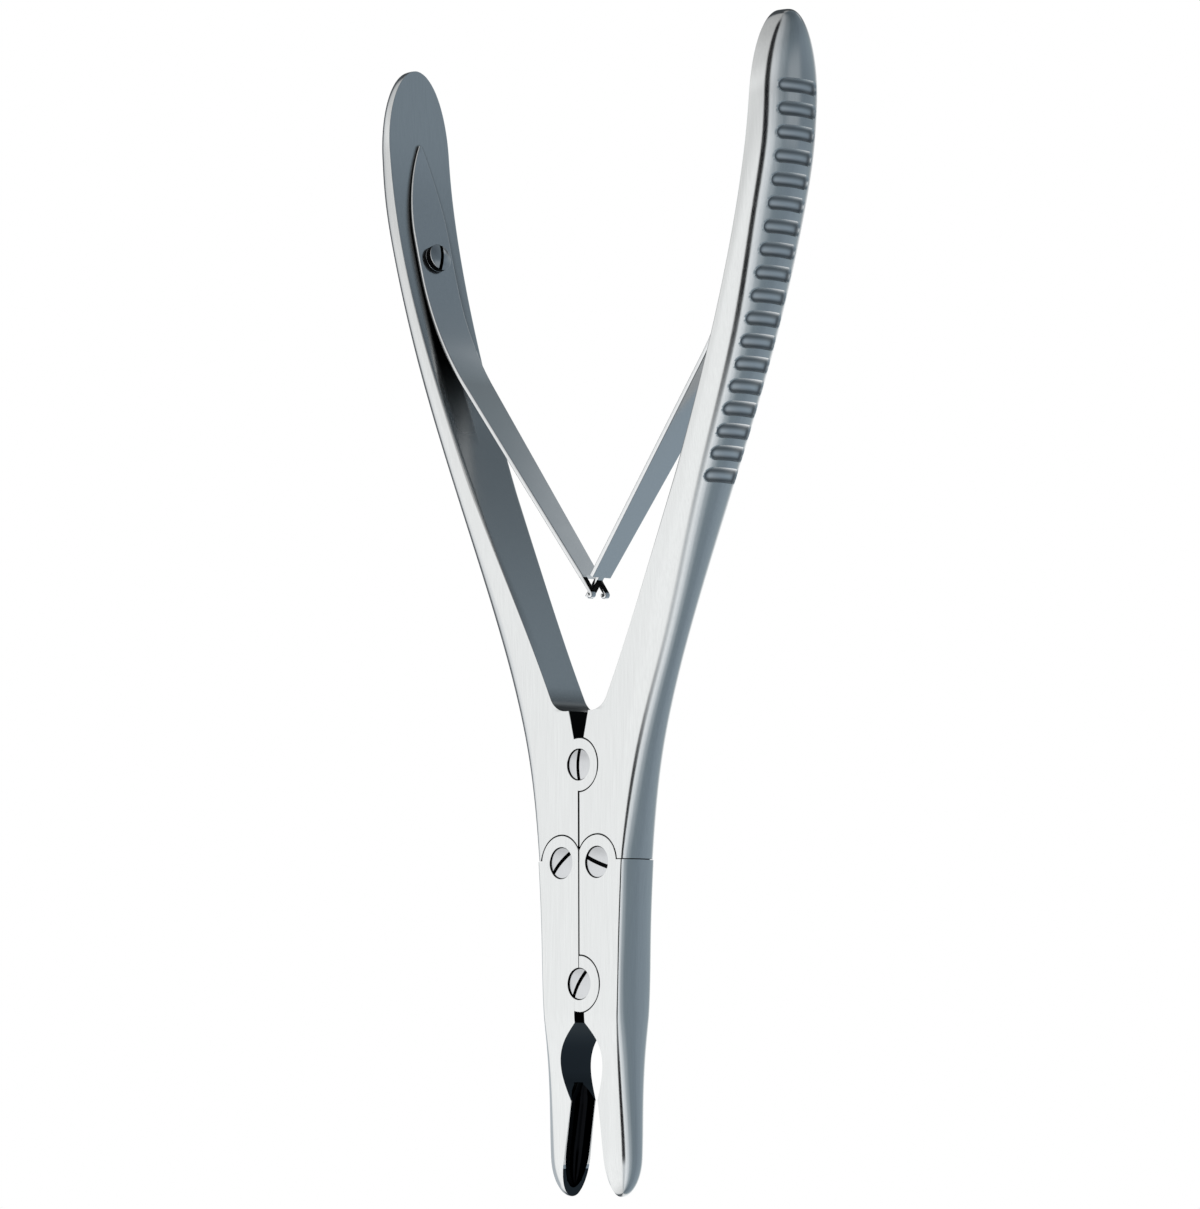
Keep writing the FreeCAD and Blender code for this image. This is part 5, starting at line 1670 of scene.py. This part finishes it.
# %% The reflected studio
def studio_shell(name, radius):
    """A sphere that only reflections see: soft box, dark gap at the camera, grey sides."""
    made, tree = new_material(name)
    place = add(tree, "ShaderNodeTexCoord").outputs["Object"]
    way = add(tree, "ShaderNodeVectorMath", {"operation": "NORMALIZE"}, {0: place})
    part = add(tree, "ShaderNodeSeparateXYZ", {}, {"Vector": way}).outputs
    around = add(tree, "ShaderNodeMath", {"operation": "ARCTAN2"}, {0: part["X"], 1: part["Z"]})
    around = add(tree, "ShaderNodeMath", {"operation": "DEGREES"}, {0: around})
    upward = add(tree, "ShaderNodeMath", {"operation": "ARCSINE"}, {0: part["Y"]})
    upward = add(tree, "ShaderNodeMath", {"operation": "DEGREES"}, {0: upward})

    # A ramp of tones for each of the two angles
    tones = []
    for value, low, high, stops in ((around, -180, 180, SHELL_ROUND), (upward, -90, 90, SHELL_UP)):
        share = add(tree, "ShaderNodeMapRange", {}, {
            "Value": value, "From Min": low, "From Max": high, "To Min": 0.0, "To Max": 1.0})
        ramp = add(tree, "ShaderNodeValToRGB", {}, {"Fac": share})
        ramp.color_ramp.interpolation = "EASE"
        points = ramp.color_ramp.elements
        while len(points) > 1:
            points.remove(points[-1])
        for number, (angle, colour) in enumerate(stops):
            position = (angle - low) / (high - low)
            stop = points[0] if number == 0 else points.new(position)
            stop.position = position
            stop.color = tuple(colour) + (1.0,)
        tones.append(ramp.outputs["Color"])
    light = add(tree, "ShaderNodeVectorMath", {"operation": "MULTIPLY"}, {0: tones[0], 1: tones[1]})

    def card_window(value, low, high, soft):
        """1 between two angles, with soft ends."""
        rise = add(tree, "ShaderNodeMapRange", {"interpolation_type": "SMOOTHSTEP"}, {
            "Value": value, "From Min": low - soft, "From Max": low,
            "To Min": 0.0, "To Max": 1.0})
        fall = add(tree, "ShaderNodeMapRange", {"interpolation_type": "SMOOTHSTEP"}, {
            "Value": value, "From Min": high, "From Max": high + soft,
            "To Min": 1.0, "To Max": 0.0})
        return add(tree, "ShaderNodeMath", {"operation": "MULTIPLY"}, {0: rise, 1: fall})

    for card_colour, card_round, card_up in SHELL_CARDS:
        where = add(tree, "ShaderNodeMath", {"operation": "MULTIPLY"}, {
            0: card_window(around, *card_round), 1: card_window(upward, *card_up)})
        light = add(tree, "ShaderNodeMix", {"data_type": "RGBA"}, {
            "Factor": where, "A": light, "B": card_colour + (1.0,)}).outputs["Result"]
    glow = add(tree, "ShaderNodeEmission", {}, {"Color": light, "Strength": SHELL_STRENGTH})
    add(tree, "ShaderNodeOutputMaterial", {}, {"Surface": glow})
    points, faces = [], []
    rows, columns = 24, 48
    for r in range(rows + 1):
        tilt = math.pi * (r + 0.02) / (rows + 0.04)
        for c in range(columns):
            turn = 2 * math.pi * c / columns
            points.append((radius * math.sin(tilt) * math.cos(turn),
                           radius * math.cos(tilt) - origin_y,
                           radius * math.sin(tilt) * math.sin(turn)))
    for r in range(rows):
        for c in range(columns):
            d = (c + 1) % columns
            faces.append((r * columns + c, r * columns + d,
                          (r + 1) * columns + d, (r + 1) * columns + c))
    shell = mesh_object(name, points, faces, made)
    shell.visible_camera = False
    shell.visible_diffuse = False
    shell.visible_shadow = False
    shell.visible_transmission = False


SHELL_RADIUS = 550.0
studio_shell("studio_shell", SHELL_RADIUS)
print("shell", SHELL_RADIUS, "mm round the instrument")

# %% [markdown]
# ## The soft lamp
#
# One large square lamp at the upper left gives the matt places their light and a soft
# direction. The steel doesn't mirror it, because the shell already holds its soft box.

# %% Hang the lamp
LAMP_PLACE = Vector((-0.25, 0.1, 1.2))
LAMP_SIZE = 0.9
lamp_data = bpy.data.lights.new("soft_lamp", "AREA")
lamp_data.shape = "RECTANGLE"
lamp_data.size = LAMP_SIZE
lamp_data.size_y = LAMP_SIZE
lamp_data.energy = 12.0
lamp = bpy.data.objects.new("soft_lamp", lamp_data)
bpy.context.scene.collection.objects.link(lamp)
lamp.location = LAMP_PLACE
lamp.visible_glossy = False
lamp.rotation_euler = (LAMP_PLACE - AIM).to_track_quat("Z", "Y").to_euler()
print("lamp of", lamp_data.energy, "W")
